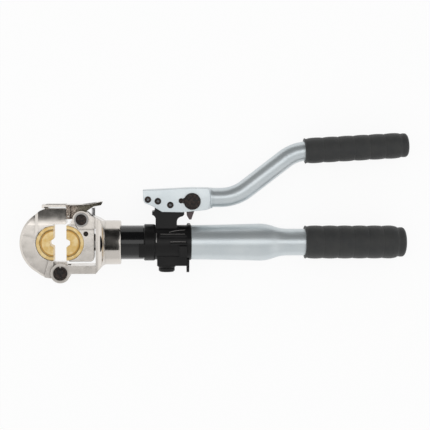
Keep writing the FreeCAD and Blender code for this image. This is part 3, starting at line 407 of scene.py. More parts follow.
class GoldPassivate(Finish):
    """Yellow-passivated tool steel, faced on a lathe: pale warm gold in soft bands round each die's axis."""

    name = "yellow_passivated_tool_steel"
    base = "#DDBB72"
    metallic = 1.0
    roughness = 0.32
    edge = 0.7 * MM
    patches = Patches(120.0, 3.0, "#D8B674", "#E8D09C", (0.35, 0.65))
    ram_axis = 16.5 * MM
    band = ((0.0145, 0.0158, 0.0, 1.0), (0.0160, 0.0172, 1.0, 0.0))

    def dress(self) -> None:
        """Turning marks 0.7 mm apart, a narrow brown ring of painted shade, and the cloudy passivate.

        The radius is r = hypot(x - a, y), where a is 0 for the yoke's die and 16.5 mm for the ram's. The share
        of the brown painted shade is smoothstep(14.5, 15.8, r) * (1 - smoothstep(16, 17.2, r)) in millimetres.
        """
        axes = self.add("SeparateXYZ", {}, {"Vector": self.place})
        right = self.add("Math", {"operation": "GREATER_THAN"}, {0: axes.outputs["X"], 1: self.ram_axis / 2})
        back = self.add("Math", {"operation": "MULTIPLY_ADD"},
                        {0: right.outputs[0], 1: -self.ram_axis, 2: axes.outputs["X"]})
        flat = self.add("CombineXYZ", {}, {"X": back.outputs[0], "Y": axes.outputs["Y"]}).outputs[0]
        radius = self.add("VectorMath", {"operation": "LENGTH"}, {0: flat}).outputs["Value"]
        # Brown ring of painted shade round each die's axis, between radii 14.5 and 17.2 mm.
        rise, fall = (self.add("MapRange", SMOOTH, ramp(radius, *ends)).outputs["Result"]
                      for ends in self.band)
        brown = self.add("Math", {"operation": "MULTIPLY"}, {0: rise, 1: fall})
        tint = self.add("Mix", COLOURS, {0: brown.outputs[0], 6: self.tint, 7: linear("#B98A42")})
        # Painted shade in the corners.
        self.paint_corner_shade(tint.outputs[2], "#5A3410", 0.002)
        rings = self.add("TexWave", {"wave_type": "RINGS", "rings_direction": "Z"},
                         {"Vector": flat, "Scale": 220.0, "Distortion": 0.6, "Detail": 1.0,
                          "Detail Scale": 40.0})
        self.relief(rings.outputs["Fac"], 0.15, 0.0001)


class BlackenedSteel(Finish):
    """Oil-blackened steel: near-black with brown patches and paler specks where the oxide is thin."""

    name = "oil_blackened_steel"
    base = "#1C1918"
    metallic = 0.5
    roughness = 0.42
    edge = 0.3 * MM
    patches = Patches(330.0, 3.0, "#121010", "#30231E", (0.4, 0.62))

    def dress(self) -> None:
        """Brown patches 3 mm across, pale specks 1 mm across, and a fine scale 0.4 mm across."""
        speck = self.add("TexNoise", {}, self.pattern(1000.0, Detail=2.0))
        thin = self.add("MapRange", SMOOTH, ramp(speck.outputs["Fac"], 0.56, 0.7, 0.0, 0.7))
        worn = self.add("Mix", COLOURS, {0: thin.outputs["Result"], 6: self.tint, 7: linear("#5A544E")})
        self.feed("Base Color", worn.outputs[2])
        grain = self.add("TexNoise", {}, self.pattern(2500.0))
        self.relief(grain.outputs["Fac"], 0.25, 0.0001)


class CoarseForging(Finish):
    """The latch: satin chrome on its hook, and a coarse pitted unground forging behind it, with painted shade
    in its corners and over its back end.
    """

    name = "chrome_on_coarse_forging"
    base = "#D9D3CC"
    metallic = 1.0
    roughness = 0.26
    edge = 0.6 * MM
    patches = Patches(1100.0, 2.0, "#4A3E36", "#B4A89C", (0.42, 0.6))
    coarse_from = 15.5 * MM

    def dress(self) -> None:
        """Clean chrome up to x = 15.5 mm, pits 0.9 mm across behind it, and painted shade darkening it from 24
        to 36 mm.
        """
        along = self.add("SeparateXYZ", {}, {"Vector": self.place}).outputs["X"]
        # Painted shade deepens towards #4E4E42 from x = 24 to 36 mm.
        ends = ((self.coarse_from, self.coarse_from + 0.0008), (0.024, 0.036, 0.0, 0.75))
        coarse, shade = (self.add("MapRange", SMOOTH, ramp(along, *row)).outputs["Result"] for row in ends)
        dark = self.add("Mix", COLOURS, {0: shade, 6: self.tint, 7: linear("#4E4E42")})
        tint = self.add("Mix", COLOURS, {0: coarse, 6: linear(self.base), 7: dark.outputs[2]})
        # Painted shade in the corners.
        self.paint_corner_shade(tint.outputs[2], "#221D18", 0.003)
        depth = self.add("Math", {"operation": "MULTIPLY"}, {0: self.cloud, 1: coarse})
        self.relief(depth.outputs[0], 0.5, 0.0004)


class RivetSteel(Finish):
    """The dished centres of the blackened pins, rubbed to grey in patches 1 mm across."""

    name = "rubbed_blackened_steel"
    base = "#5C5F60"
    metallic = 0.85
    roughness = 0.35
    patches = Patches(1000.0, 2.0, "#3A3B3C", "#7C8082", (0.35, 0.65))


class GroundSteel(Finish):
    """Ground bright steel: cool grey with a fine directional grind."""

    name = "ground_bright_steel"
    base = "#9A9896"
    metallic = 1.0
    roughness = 0.28

    def dress(self) -> None:
        """Grinding lines 0.3 mm apart across X, uneven in depth."""
        stretch = self.add("Mapping", {}, {"Vector": self.place, "Scale": (1.0, 0.05, 0.05)})
        lines = self.add("TexNoise", {}, {"Vector": stretch.outputs["Vector"], "Scale": 3000.0})
        self.relief(lines.outputs["Fac"], 0.15, 0.0001)
        self.roughen(lines.outputs["Fac"], 0.2, 0.38)


class GlossEnamel(Finish):
    """Gloss black stoving enamel: near-black under a clear wet-looking coat."""

    name = "gloss_black_enamel"
    base = "#08080A"
    roughness = 0.25
    extra = {"Specular IOR Level": 0.15, "Coat Weight": 1.0, "Coat Roughness": 0.04, "Coat IOR": 1.45}

    def dress(self) -> None:
        """The faint orange peel, 3 mm across, of sprayed enamel."""
        peel = self.add("TexNoise", {}, self.pattern(330.0, Detail=1.0)).outputs["Fac"]
        self.feed("Coat Normal", self.relief(peel, 0.06, 0.0002))
        self.roughen(peel, 0.18, 0.34)


class CastBlackPaint(Finish):
    """Satin black paint over a sand casting: charcoal with the casting's grain standing through."""

    name = "satin_black_paint_on_casting"
    base = "#101011"
    roughness = 0.36
    edge = 1.0 * MM
    extra = {"Specular IOR Level": 0.25}
    patches = Patches(90.0, 3.0, "#09090A", "#181717")

    def dress(self) -> None:
        """Casting grain 0.9 mm across, and clouds of paler and rougher paint 11 mm across."""
        sand = self.add("TexNoise", {}, self.pattern(1100.0, Detail=3.0))
        self.roughen(self.cloud, 0.26, 0.45)
        self.relief(sand.outputs["Fac"], 0.3, 0.0002)


class SilverPaint(Finish):
    """Silver metallic paint on steel tube: cool aluminium flake under a thin satin lacquer."""

    name = "silver_metallic_paint"
    base = "#BFC8CB"
    metallic = 0.7
    roughness = 0.34
    edge = 0.8 * MM
    patches = Patches(35.0, 3.0, "#C4CDD1", "#DAE0E2")

    def dress(self) -> None:
        """Flake sparkle 0.6 mm across, soft clouds where the spray lay thicker, and a fine peel.

        Real flakes are near 0.05 mm. They are drawn coarser so that they show.
        """
        flake = self.add("TexVoronoi", {}, self.pattern(1600.0))
        glint = self.add("HueSaturation", {},
                         {"Saturation": 0.0, "Value": 1.0, "Color": flake.outputs["Color"]})
        mixed = self.add("Mix", COLOURS | {"blend_type": "SOFT_LIGHT"},
                         {0: 0.12, 6: self.tint, 7: glint.outputs["Color"]})
        self.feed("Base Color", mixed.outputs[2])
        peel = self.add("TexNoise", {}, self.pattern(700.0, Detail=2.0))
        self.relief(peel.outputs["Fac"], 0.12, 0.00012)


class GripRubber(Finish):
    """Soft moulded grip rubber: charcoal with a bloomed, slightly dusty skin."""

    name = "moulded_grip_rubber"
    base = "#3B3B3A"
    roughness = 0.62
    extra = {"Specular IOR Level": 0.35, "Sheen Weight": 0.15, "Sheen Roughness": 0.5}
    patches = Patches(80.0, 4.0, "#27292B", "#3B3B39")

    def dress(self) -> None:
        """Bloom in patches 12 mm across, spark-eroded mould grain 0.8 mm across."""
        grain = self.add("TexVoronoi", {"feature": "F1"}, self.pattern(1300.0))
        self.relief(grain.outputs["Distance"], 0.35, 0.0002)


class SealRubber(Finish):
    """Smooth black nitrile rubber of the seals and the oil bladder."""

    name = "black_nitrile_rubber"
    base = "#141415"
    roughness = 0.5

    def dress(self) -> None:
        """A faint mould skin 1 mm across."""
        skin = self.add("TexNoise", {}, self.pattern(1000.0))
        self.roughen(skin.outputs["Fac"], 0.42, 0.6)


class RedLacquer(Finish):
    """Red-brown lacquer on pressed steel: dark wine colour, rubbed near-black in patches 3 mm across."""

    name = "red_brown_lacquer"
    base = "#3A2024"
    roughness = 0.35
    extra = {"Coat Weight": 0.4}
    patches = Patches(330.0, 3.0, "#24161A", "#4C282C")


class TurnedBronze(Finish):
    """Turned bearing bronze of the rod guide."""

    name = "turned_bearing_bronze"
    base = "#B98A52"
    metallic = 1.0
    roughness = 0.32

    def dress(self) -> None:
        """Turning marks 0.5 mm apart along X."""
        marks = self.add("TexWave", {"wave_type": "BANDS", "bands_direction": "X"},
                         self.pattern(300.0, Distortion=1.0))
        self.relief(marks.outputs["Fac"], 0.2, 0.0001)


class Slot(Enum):
    """The record's material slots, each with the finish that dresses it."""

    chrome = SatinChrome
    gold_steel = GoldPassivate
    dark_steel = BlackenedSteel
    bright_steel = GroundSteel
    gloss_black = GlossEnamel
    satin_black = CastBlackPaint
    silver = SilverPaint
    grip_rubber = GripRubber
    seal_rubber = SealRubber
    red_brown = RedLacquer
    bearing_bronze = TurnedBronze


class Paintbox:
    """Makes each finish once and hands it out by the record's slot."""

    def __init__(self) -> None:
        """Build all finishes."""
        self.finishes = {slot.name: slot.value() for slot in Slot}
        self.forging = CoarseForging()
        self.rubbed = RivetSteel()

    def dress_nodes(self) -> None:
        """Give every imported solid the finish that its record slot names, and the latch its coarser chrome."""
        for part in frame["record"]["subparts"]:
            self.finishes[part["material_slot"]].paint(frame["nodes"][part["node"]])
        self.forging.paint(frame["nodes"]["latch"])

    def attach(self, thing: Thing, slot: str, body: str, *stands_for: str) -> None:
        """Dress a new piece, make it ride, and hide the CAD nodes that it stands for.

        Args:
            thing: The new piece, its place in its mesh.
            slot: The record's material slot.
            body: The CAD body that it rides on.
            stands_for: CAD nodes that it replaces.
        """
        self.finishes[slot].paint(thing)
        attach(thing, body)
        if stands_for:
            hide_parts(*stands_for)
        LOG.info("%s rides on %s with %d faces", thing.name, body, len(thing.data.polygons))


@dataclass(frozen=True)
class MouldedGrip:
    """A rubber handle grip with finger swells, a flared mouth and a stepped end cap.

    Its profile runs from the mouth to the end cap and is turned about the handle's axis. The lip has a
    height, and a place and a width in shares of the mouth. The groove under the cap has a depth and a width,
    the moulds' parting line a height, a width and a start, and the cap's dome a length and a drop in shares.
    """

    name: str
    body: str
    node: str
    start: tuple[float, float, float]
    angle: float
    bore: float
    radius: float
    mouth: float
    pitch: float
    swells: int
    swell_height: float
    cap_length: float
    cap_drop: float
    lip: tuple[float, float, float] = (0.9 * MM, 0.16, 0.17)
    groove: tuple[float, float] = (0.7 * MM, 0.2)
    parting: tuple[float, float, float] = (0.12 * MM, 0.03, 2.0 * MM)
    fade: float = 0.4
    dome: tuple[float, float] = (0.42, 0.36)
    depth: float = 6.0 * MM

    def outline(self) -> Grid:
        """Give the outside as places along the axis and radii.

        Over the swells the radius is r - h + 2h * sqrt(|sin(pi * s / pitch)|), broad crests that meet in
        narrow valleys. The mouth flares over its last millimetres, and the cap ends in a quarter ellipse.
        """
        swell_end = self.mouth + self.pitch * self.swells
        flare = np.linspace(0.0, 1.0, 12)
        mouth_s = flare * self.mouth
        lip = self.lip[0] * np.exp(-((flare - self.lip[1]) / self.lip[2]) ** 2)
        mouth_r = self.radius - self.swell_height + lip
        s = np.linspace(self.mouth, swell_end, 26 * self.swells + 1)[1:]
        wave = np.sqrt(np.abs(np.sin(math.pi * (s - self.mouth) / self.pitch)))
        fade = np.clip((swell_end - s) / (self.fade * self.pitch), 0.0, 1.0)
        drop = (1 - fade ** 0.5) * self.cap_drop
        r = self.radius - self.swell_height + 2.0 * self.swell_height * wave - drop
        turn = np.linspace(0.0, math.pi / 2, 14)
        dome = self.dome[0] * self.cap_length
        cap_s = np.concatenate([swell_end + np.linspace(0.0, self.cap_length - dome, 6)[1:-1],
                                swell_end + self.cap_length - dome + dome * np.sin(turn)])
        cap_top = self.radius - self.swell_height - self.cap_drop
        seam = self.groove[0] * np.exp(-((np.linspace(0, 1, 4) - self.groove[1]) / self.groove[1]) ** 2)
        cap_r = np.concatenate([cap_top - seam, cap_top - (1.0 - np.cos(turn)) * self.dome[1] * cap_top])
        return np.stack([np.concatenate([mouth_s, s, cap_s]), np.concatenate([mouth_r, r, cap_r])], axis=1)

    def build(self, paints: Paintbox) -> None:
        """Turn the outline, with the bore's wall inside the mouth, and attach the grip."""
        outside = self.outline()
        inside = np.array([[self.depth, self.bore - 0.4 * MM], [self.depth, self.bore], [0.0, self.bore]])
        lip = np.array([[0.0, self.bore + 0.3 * (outside[0, 1] - self.bore)]])
        profile = np.concatenate([inside, lip, outside])
        around = np.linspace(0.0, 2.0 * math.pi, 160, endpoint=False)
        s, r = profile[:, :1], profile[:, 1:]
        seam = self.parting[0] * np.exp(-(np.abs(np.cos(around))[None, :] / self.parting[1]) ** 2)
        r = r + seam * (s > self.parting[2])
        y, z = r * np.cos(around), r * np.sin(around)
        x = np.broadcast_to(s, y.shape)
        cos, sin = math.cos(self.angle), math.sin(self.angle)
        rings = np.stack([self.start[0] + x * cos - y * sin, self.start[1] + x * sin + y * cos,
                          self.start[2] + z], axis=-1)
        paints.attach(closed_tube(self.name, rings), "grip_rubber", self.body, self.node)


@dataclass(frozen=True)
class Grips:
    """Both rubber grips, on the tank's neck and on the lever's tube."""

    crest: tuple[float, float] = (311.0 * MM, 118.245 * MM)
    crest_angle: float = math.radians(3.5)
    upper_start: float = 13.2 * MM

    def build(self, paints: Paintbox) -> None:
        """Make the two grips at the places that the solids have."""
        MouldedGrip("lower_grip_skin", "pump", "lower_grip", (325.5 * MM, 0.0, 0.0), 0.0, 17.6 * MM,
                    21.2 * MM, 4.0 * MM, 19.6 * MM, 6, 0.5 * MM, 11.2 * MM, 1.3 * MM).build(paints)
        start = (self.crest[0] + self.upper_start * math.cos(self.crest_angle),
                 self.crest[1] + self.upper_start * math.sin(self.crest_angle), 0.0)
        MouldedGrip("upper_grip_skin", "lever", "upper_grip", start, self.crest_angle, 12.6 * MM,
                    16.2 * MM, 4.0 * MM, 20.2 * MM, 6, 0.5 * MM, 10.8 * MM, 0.1 * MM).build(paints)


def lathe(name: str, profile: Grid, centre: tuple[float, float], side: int) -> Thing:
    """Turn a profile about an axis along Z through a centre.

    The point at profile (h, r) and angle t is (cx + r cos t, cy + r sin t, side * h).

    Args:
        name: Name of the new piece.
        profile: Heights and radii from one end to the other, in metres.
        centre: Place of the axis in the tool's plane.
        side: 1 for the side towards the camera, -1 for the one on the table.

    Returns:
        The closed piece.
    """
    around = np.linspace(0.0, 2.0 * math.pi, 64, endpoint=False)
    radius = np.maximum(profile[:, 1:], 1e-6)
    height = np.broadcast_to(profile[:, :1] * side, (len(profile), len(around)))
    x, y = centre[0] + radius * np.cos(around), centre[1] + radius * np.sin(around)
    return closed_tube(name, np.stack([x, y, height], axis=-1))


def tangents(line: Grid) -> Grid:
    """Give the unit direction of a line at each of its points."""
    along = np.gradient(line, axis=0)
    return along / np.linalg.norm(along, axis=1, keepdims=True)


def ribbon(name: str, line: Grid, thick: Grid, half: Grid) -> Thing:
    """Lay a strip of rounded section along a line in the tool's plane.

    At each place the section is the superellipse |n / t|^4 + |z / w|^4 = 1, where n runs across the line,
    t is half the thickness and w half the width.

    Args:
        name: Name of the new piece.
        line: Points (x, y) along the middle of the strip.
        thick: Its thickness at each point.
        half: Half its width along Z at each point.

    Returns:
        The closed piece.
    """
    along = tangents(line)
    across = np.stack([-along[:, 1], along[:, 0]], axis=1)
    turn = np.linspace(0.0, 2.0 * math.pi, 48, endpoint=False)
    cos, sin = np.cos(turn), np.sin(turn)
    n = (np.sign(cos) * np.sqrt(np.abs(cos)))[None, :] * thick[:, None] / 2
    z = (np.sign(sin) * np.sqrt(np.abs(sin)))[None, :] * half[:, None]
    x = line[:, :1] + n * across[:, :1]
    y = line[:, 1:] + n * across[:, 1:]
    return closed_tube(name, np.stack([x, y, z], axis=-1))


@dataclass(frozen=True)
class LatchTrim:
    """What the latch shows beyond its solid: the ground top strap, the serrations, the rivets."""

    top: float = 49.2 * MM
    rise: tuple[float, float] = (36.0 * MM, 61.4 * MM)
    tip: float = -14.2 * MM
    half_hook: float = 12.9 * MM
    half_thumb: float = 9.9 * MM
    lift: float = 4.0 * MM
    narrow_from: float = 27.0 * MM
    narrow_over: float = 12.0 * MM
    tip_round: float = 3.0 * MM
    strap_thick: float = 1.3 * MM
    sunk: float = 0.25 * MM
    pad: tuple[float, float, float] = (-9.5 * MM, 15.5 * MM, 10.5 * MM)
    pad_rise: float = 0.55 * MM
    rib: tuple[float, float, float] = (0.9, 0.45, 1.9 * MM)
    rivet: tuple[float, float] = (19.4 * MM, 34.6 * MM)
    rivet_size: tuple[float, float, float] = (12.9 * MM, 0.8 * MM, 1.35 * MM)

    def build(self, paints: Paintbox) -> None:
        """Make all three."""
        self.strap(paints)
        self.serrations(paints)
        self.dots(paints)

    def strap(self, paints: Paintbox) -> None:
        """Lay the ground strap: level over the hook, then bending up along the thumb tongue.

        Its middle lies at y = top - sunk + lift * u^1.5, with u from 0 to 1 between the bend and the end.
        It narrows smoothly behind the hook, and its end is rounded by a quarter of its width.
        """
        x = np.concatenate([np.linspace(self.tip, self.rise[0], 50), np.linspace(*self.rise, 40)[1:]])
        u = np.clip((x - self.rise[0]) / (self.rise[1] - self.rise[0]), 0.0, 1.0)
        y = self.top - self.sunk + self.lift * u ** 1.5
        blend = smooth(np.clip((x - self.narrow_from) / self.narrow_over, 0.0, 1.0))
        half = self.half_hook + (self.half_thumb - self.half_hook) * blend
        end = np.clip((self.rise[1] - x) / self.tip_round, 0.0, 1.0)
        half = half * (0.75 + 0.25 * np.sqrt(1 - (1 - end) ** 2))
        strip = ribbon("latch_top_strap", np.stack([x, y], axis=1), np.full(len(x), self.strap_thick), half)
        paints.attach(strip, "chrome", "latch")

    def serrations(self, paints: Paintbox) -> None:
        """Lay a ribbed pad over the hook, rib[0] + rib[1] sin(2 pi x / rib[2]) millimetres thick."""
        x = np.linspace(self.pad[0], self.pad[1], 220)
        thick = (self.rib[0] + self.rib[1] * np.sin(2.0 * math.pi * x / self.rib[2])) * MM
        y = np.full(len(x), self.top + self.pad_rise)
        half = np.full(len(x), self.pad[2])
        pad = ribbon("latch_thumb_serrations", np.stack([x, y], axis=1), thick, half)
        paints.attach(pad, "chrome", "latch")

    def dots(self, paints: Paintbox) -> None:
        """Set a bright domed rivet into each side of the heel."""
        turn = np.linspace(0.0, math.pi / 2, 8)
        face, dome, radius = self.rivet_size
        profile = np.stack([face + dome * np.sin(turn), radius * np.cos(turn)], axis=1)
        for side, label in ((1, "upper"), (-1, "lower")):
            paints.attach(lathe("latch_rivet_" + label, profile, self.rivet, side), "chrome", "latch")


@dataclass(frozen=True)
class YokeForging:
    """The yoke's forged form: a bevelled outer rim, and an upper arm whose cheeks fall away behind a step."""

    outer: float = 43.4 * MM
    packed_outer: float = 45.0 * MM
    bevel: tuple[float, float] = (2.8 * MM, 5.4 * MM)
    half: float = 15.0 * MM
    seat_gap: float = 0.45 * MM
    span: tuple[float, float] = (112.0, 255.0)
    step: tuple[float, float] = (-19.4 * MM, -23.4 * MM)
    step_foot: float = 4.0 * MM
    recess: float = 2.6 * MM
    thin: tuple[float, float] = (140.0, 165.0)
    fall_from: float = 24.2 * MM
    lean: float = 0.17
    fall: float = 5.3
    gap_tool: tuple[float, float, float] = (0.018, 0.050, 0.016)
    overlap: float = 0.3
    rim_meets: tuple[float, float] = (0.08, 0.12)
    plain_bevel: float = 0.2 * MM
    hollow_x: tuple[float, float] = (-60.0 * MM, 30.0 * MM)
    hollow_to: float = 52.0 * MM
    clear: float = 6.0 * MM
    skim: float = 0.02 * MM
    wide_bevel: tuple[float, float] = (200.0, 40.0)
    sections: int = 120
    rows: int = 60

    def build(self, paints: Paintbox) -> None:
        """Swap the plain arc of a copy for the bevelled one, then hollow both cheeks of the upper arm."""
        yoke = copy_solid("yoke", "yoke_forging")
        seat = -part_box("yoke_die")[0][0] + self.seat_gap
        carve(yoke, self.arc("yoke_gap", self.span, *self.gap_tool), "DIFFERENCE")
        ends = (self.span[0] - self.overlap, self.span[1] + self.overlap)
        carve(yoke, self.arc("yoke_arc", ends, seat, None, self.half), "UNION")
        for side in (1, -1):
            carve(yoke, self.hollow(side), "DIFFERENCE")
        paints.attach(yoke, "chrome", "yoke", "yoke")

    def arc(self, name: str, span: tuple[float, float], inner: float, outer: float | None,
            half: float) -> Thing:
        """Sweep a section round the crimp axis.

        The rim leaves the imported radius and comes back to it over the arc's two ends, blend = 0 to 1. With u
        the angle's way through thin, half the thickness is half - recess * smoothstep(u). The bevel goes
        with u from c = blend * (bevel[0] + (bevel[1] - bevel[0]) * v) to bevel[0], where v falls from 1 at
        160 degrees to 0 at 200.

        Args:
            name: Name of the piece.
            span: First and last angle in degrees.
            inner: Inner radius.
            outer: Outer radius, or None for the rim's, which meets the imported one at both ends.
            half: Half the thickness.

        Returns:
            The closed piece.
        """
        angle = np.radians(np.linspace(*span, self.sections))
        share = np.linspace(0.0, 1.0, self.sections)
        if outer is None:
            first, last = self.rim_meets
            blend = np.clip(np.minimum(share / first, (1.0 - share) / last), 0.0, 1.0)
            rim = self.packed_outer + (self.outer - self.packed_outer) * smooth(blend)
            upper = np.clip((self.wide_bevel[0] - np.degrees(angle)) / self.wide_bevel[1], 0.0, 1.0)
            cut = blend * (self.bevel[0] + (self.bevel[1] - self.bevel[0]) * upper)
            level_at = np.interp(np.degrees(angle), self.thin, (0.0, 1.0))
            half = half - self.recess * smooth(level_at)
            cut = cut - (cut - self.bevel[0]) * level_at
        else:
            rim, cut = np.full(self.sections, outer), np.full(self.sections, self.plain_bevel)
        low = np.full(self.sections, inner)
        across = np.stack([low, rim - cut, rim, rim, rim - cut, low], axis=1)
        half = half + low * 0.0
        level = np.stack([-half, -half, cut - half, half - cut, half, half], axis=1)
        x, y = across * np.cos(angle)[:, None], across * np.sin(angle)[:, None]
        return closed_tube(name, np.stack([x, y, level], axis=-1))

    def hollow(self, side: int) -> Thing:
        """Make the tool that hollows one cheek above the step's foot.

        With d = max(0, y - fall_from) its floor lies at z = half - lean * d - fall * d^2 over the arm, and
        recess deeper left of the step.
        """
        y = np.linspace(self.step_foot, self.hollow_to, self.rows)
        past = np.maximum(0.0, y - self.fall_from)
        arm = self.half + self.skim - self.lean * past - self.fall * past ** 2
        deep = arm - self.recess
        far = np.full(self.rows, self.half + self.clear)
        left, right = self.hollow_x
        x = np.broadcast_to([left, self.step[1], self.step[0], right, right, left], (self.rows, 6))
        z = np.stack([deep, deep, arm, arm, far, far], axis=1) * side
        rows = np.broadcast_to(y[:, None], (self.rows, 6))
        return closed_tube("yoke_hollow_%d" % side, np.stack([x, rows, z], axis=-1))


def bead(name: str, path: Grid, radius: float) -> Thing:
    """Lay a round bead along a path.

    Args:
        name: Name of the bead.
        path: Points along its middle.
        radius: Half its thickness.

    Returns:
        The closed bead.
    """
    along = tangents(path)
    side = np.cross(along, [0.0, 0.0, 1.0])
    side /= np.linalg.norm(side, axis=1, keepdims=True)
    rise = np.cross(side, along)
    turn = np.linspace(0.0, 2.0 * math.pi, 12, endpoint=False)[None, :, None]
    ring = np.cos(turn) * side[:, None] + np.sin(turn) * rise[:, None]
    return closed_tube(name, path[:, None] + radius * ring)


@dataclass(frozen=True)
class CastingSeamHighlights:
    """Raised parting-line beads on the pump casting, painted in bright steel as highlights along its edges,
    laid where a ray from above meets the solid.
    """

    lines: tuple[tuple[str, str, tuple[tuple[float, float], ...], float], ...] = (
        ("pump_seam_highlight_upper", "pump_body", ((137.0, 12.2), (152.0, 12.2), (168.0, 12.2)), 0.45),
        ("pump_seam_highlight_middle", "pump_body", ((149.5, 2.6), (160.0, 2.6), (169.5, 2.6)), 0.45),
        ("pump_seam_highlight_front", "pump_body", ((131.6, 13.6), (131.6, 7.0), (131.6, 1.6)), 0.8),
        ("pump_fillet_highlight", "pump_body", ((148.0, 14.4), (154.0, 16.0), (161.0, 16.9), (168.5, 17.2)), 0.4),
    )
    places: int = 40
    above: float = 0.1

    def build(self, paints: Paintbox) -> None:
        """Lay each bead at the height z(x, y) of the solid under it."""
        for name, node, corners, radius in self.lines:
            solid = frame["nodes"][node]
            mesh = solid.data.copy()
            mesh.transform(solid.matrix_world)
            knots = np.array(corners) * MM
            share = np.linspace(0.0, len(knots) - 1.0, self.places)
            x = np.interp(share, np.arange(len(knots)), knots[:, 0])
            y = np.interp(share, np.arange(len(knots)), knots[:, 1])
            hits = ray_hits(mesh, np.stack([x, y, np.full(len(x), self.above)], axis=1), DOWN)
            bpy.data.meshes.remove(mesh)
            z = np.array([hit.z if hit else 0.0 for hit in hits])
            LOG.info("%s lies between z %.4f and %.4f", name, z.min(), z.max())
            thing = bead(name, np.stack([x, y, z], axis=1), radius * MM)
            paints.attach(thing, "satin_black", "pump")
            # The bright steel is a painted highlight along the casting's seams and edges.
            paints.finishes["bright_steel"].paint(thing)


@dataclass(frozen=True)
class ClevisForging:
    """The lever's clevis with the broad bevels along both of its upper long edges."""

    bevel: float = 3.2 * MM
    lean: float = 0.11
    ends: tuple[float, float] = (-1.0 * MM, 1.0 * MM)
    places: int = 60
    above: float = 0.15
    lowest: float = 0.055
    past: float = 1.0 * MM
    inset: float = 0.3 * MM
    skim: float = 0.02 * MM

    def build(self, paints: Paintbox) -> None:
        """Cut a three-sided strip from each upper edge. Rays from the lever's side find the edge's y(x)."""
        clevis = copy_solid("lever_clevis", "lever_clevis_forging")
        low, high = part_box("lever_clevis")
        x = np.linspace(low[0] + self.inset, high[0] - self.inset, self.places)
        starts = np.stack([x, np.full(len(x), self.above), np.full(len(x), high[2] - self.past)], axis=1)
        hits = ray_hits(clevis.data, starts, (0.0, -1.0, 0.0))
        kept = np.array([hit is not None and hit.y > self.lowest for hit in hits])
        top = np.interp(x, x[kept], [hit.y for hit, keep in zip(hits, kept) if keep])
        x[0], x[-1] = low[0] + self.ends[0], high[0] + self.ends[1]
        for side in (1, -1):
            y = np.stack([top - self.bevel, top + self.past, top + self.past], axis=1)
            z = np.stack([top * 0 + high[2] + self.skim, top * 0 + high[2] + self.skim,
                          top * 0 + high[2] - self.lean * (self.bevel + self.past)], axis=1) * side
            rings = np.stack([np.broadcast_to(x[:, None], y.shape), y, z], axis=-1)
            carve(clevis, closed_tube("clevis_cut_%d" % side, rings), "DIFFERENCE")
        paints.attach(clevis, "silver", "lever", "lever_clevis")


@dataclass(frozen=True)
class Spring:
    """One coil spring, copied from its imported solid and riding on its body."""

    node: str
    name: str
    body: str
    slot: str
    joint: str
    axis: tuple[float, float, float]
    seat: tuple[float, float, float]
    length: float
    stroke: float

    def build(self, paints: Paintbox) -> None:
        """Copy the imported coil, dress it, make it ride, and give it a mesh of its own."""
        coil = copy_solid(self.node, self.name)
        paints.attach(coil, self.slot, self.body, self.node)
        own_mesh(coil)


SPRINGS = (
    Spring("ram_return_spring", "ram_return_coil", "head", "bright_steel", "ram_advance", (1.0, 0.0, 0.0),
           (67.0 * MM, 0.0, 0.0), 27.0 * MM, 16.6 * MM),
    Spring("latch_spring", "latch_coil", "head", "dark_steel", "latch_lift", (0.0, 1.0, 0.0),
           (50.5 * MM, 34.6 * MM, 0.0), 10.6 * MM, 6.8 * MM),
    Spring("button_spring", "button_coil", "ram", "bright_steel", "die_button_press", (0.0, 0.0, 1.0),
           (41.5 * MM, 12.1 * MM, 3.0 * MM), 4.0 * MM, 2.05 * MM),
    Spring("plunger_spring", "plunger_coil", "yoke", "bright_steel", "die_plunger_lift",
           (-0.279, 0.9603, 0.0), (-11.05 * MM, 38.03 * MM, 0.0), 10.6 * MM, 1.2 * MM),
    Spring("stem_coil", "stem_return_coil", "pump", "bright_steel", "stem_press", (0.0, 1.0, 0.0),
           (173.6 * MM, 12.0 * MM, 0.0), 4.0 * MM, 1.55 * MM),
)


@dataclass(frozen=True)
class KnobNose:
    """The release disc's nose, a domed boss that rests on the clevis cheek."""

    centre: tuple[float, float] = (163.4 * MM, 54.9 * MM)
    radius: float = 3.3 * MM
    face: float = 17.3 * MM
    dome: float = 1.4 * MM
    sunk: float = 1.2 * MM

    def build(self, paints: Paintbox) -> None:
        """Turn the boss on the camera's side: a cylinder under a quarter-ellipse dome."""
        turn = np.linspace(0.0, math.pi / 2, 10)
        dome = np.stack([self.face + self.dome * np.sin(turn), self.radius * np.cos(turn)], axis=1)
        profile = np.concatenate([[[self.face - self.sunk, self.radius]], dome])
        paints.attach(lathe("release_knob_nose", profile, self.centre, 1), "dark_steel", "knob")


@dataclass(frozen=True)
class PinEnds:
    """The dished centres of the lever's black pins, rubbed to grey."""

    centres: tuple[tuple[str, float, float, float], ...] = (
        ("pivot", 133.6 * MM, 54.3 * MM, 1.5 * MM),
        ("cross", 149.5 * MM, 49.5 * MM, 1.5 * MM),
        ("spacer", 120.8 * MM, 56.4 * MM, 1.5 * MM),
    )
    face: float = 17.85 * MM

    def build(self, paints: Paintbox) -> None:
        """Turn each centre: a shallow dish h = face + 0.12 + 0.25 (r / R)^2 with a rounded rim."""
        share = np.linspace(0.0, 1.0, 8)
        for label, x, y, radius in self.centres:
            dish = np.stack([self.face + (0.12 + 0.25 * share ** 2) * MM, share * radius], axis=1)
            rim = np.array([[self.face + 0.3 * MM, radius + 0.15 * MM],
                            [self.face - 0.1 * MM, radius + 0.2 * MM]])
            profile = np.concatenate([dish, rim])
            for side, where in ((1, "upper"), (-1, "lower")):
                centre = lathe("%s_pin_centre_%s" % (label, where), profile, (x, y), side)
                paints.attach(centre, "dark_steel", "lever")
                paints.rubbed.paint(centre)


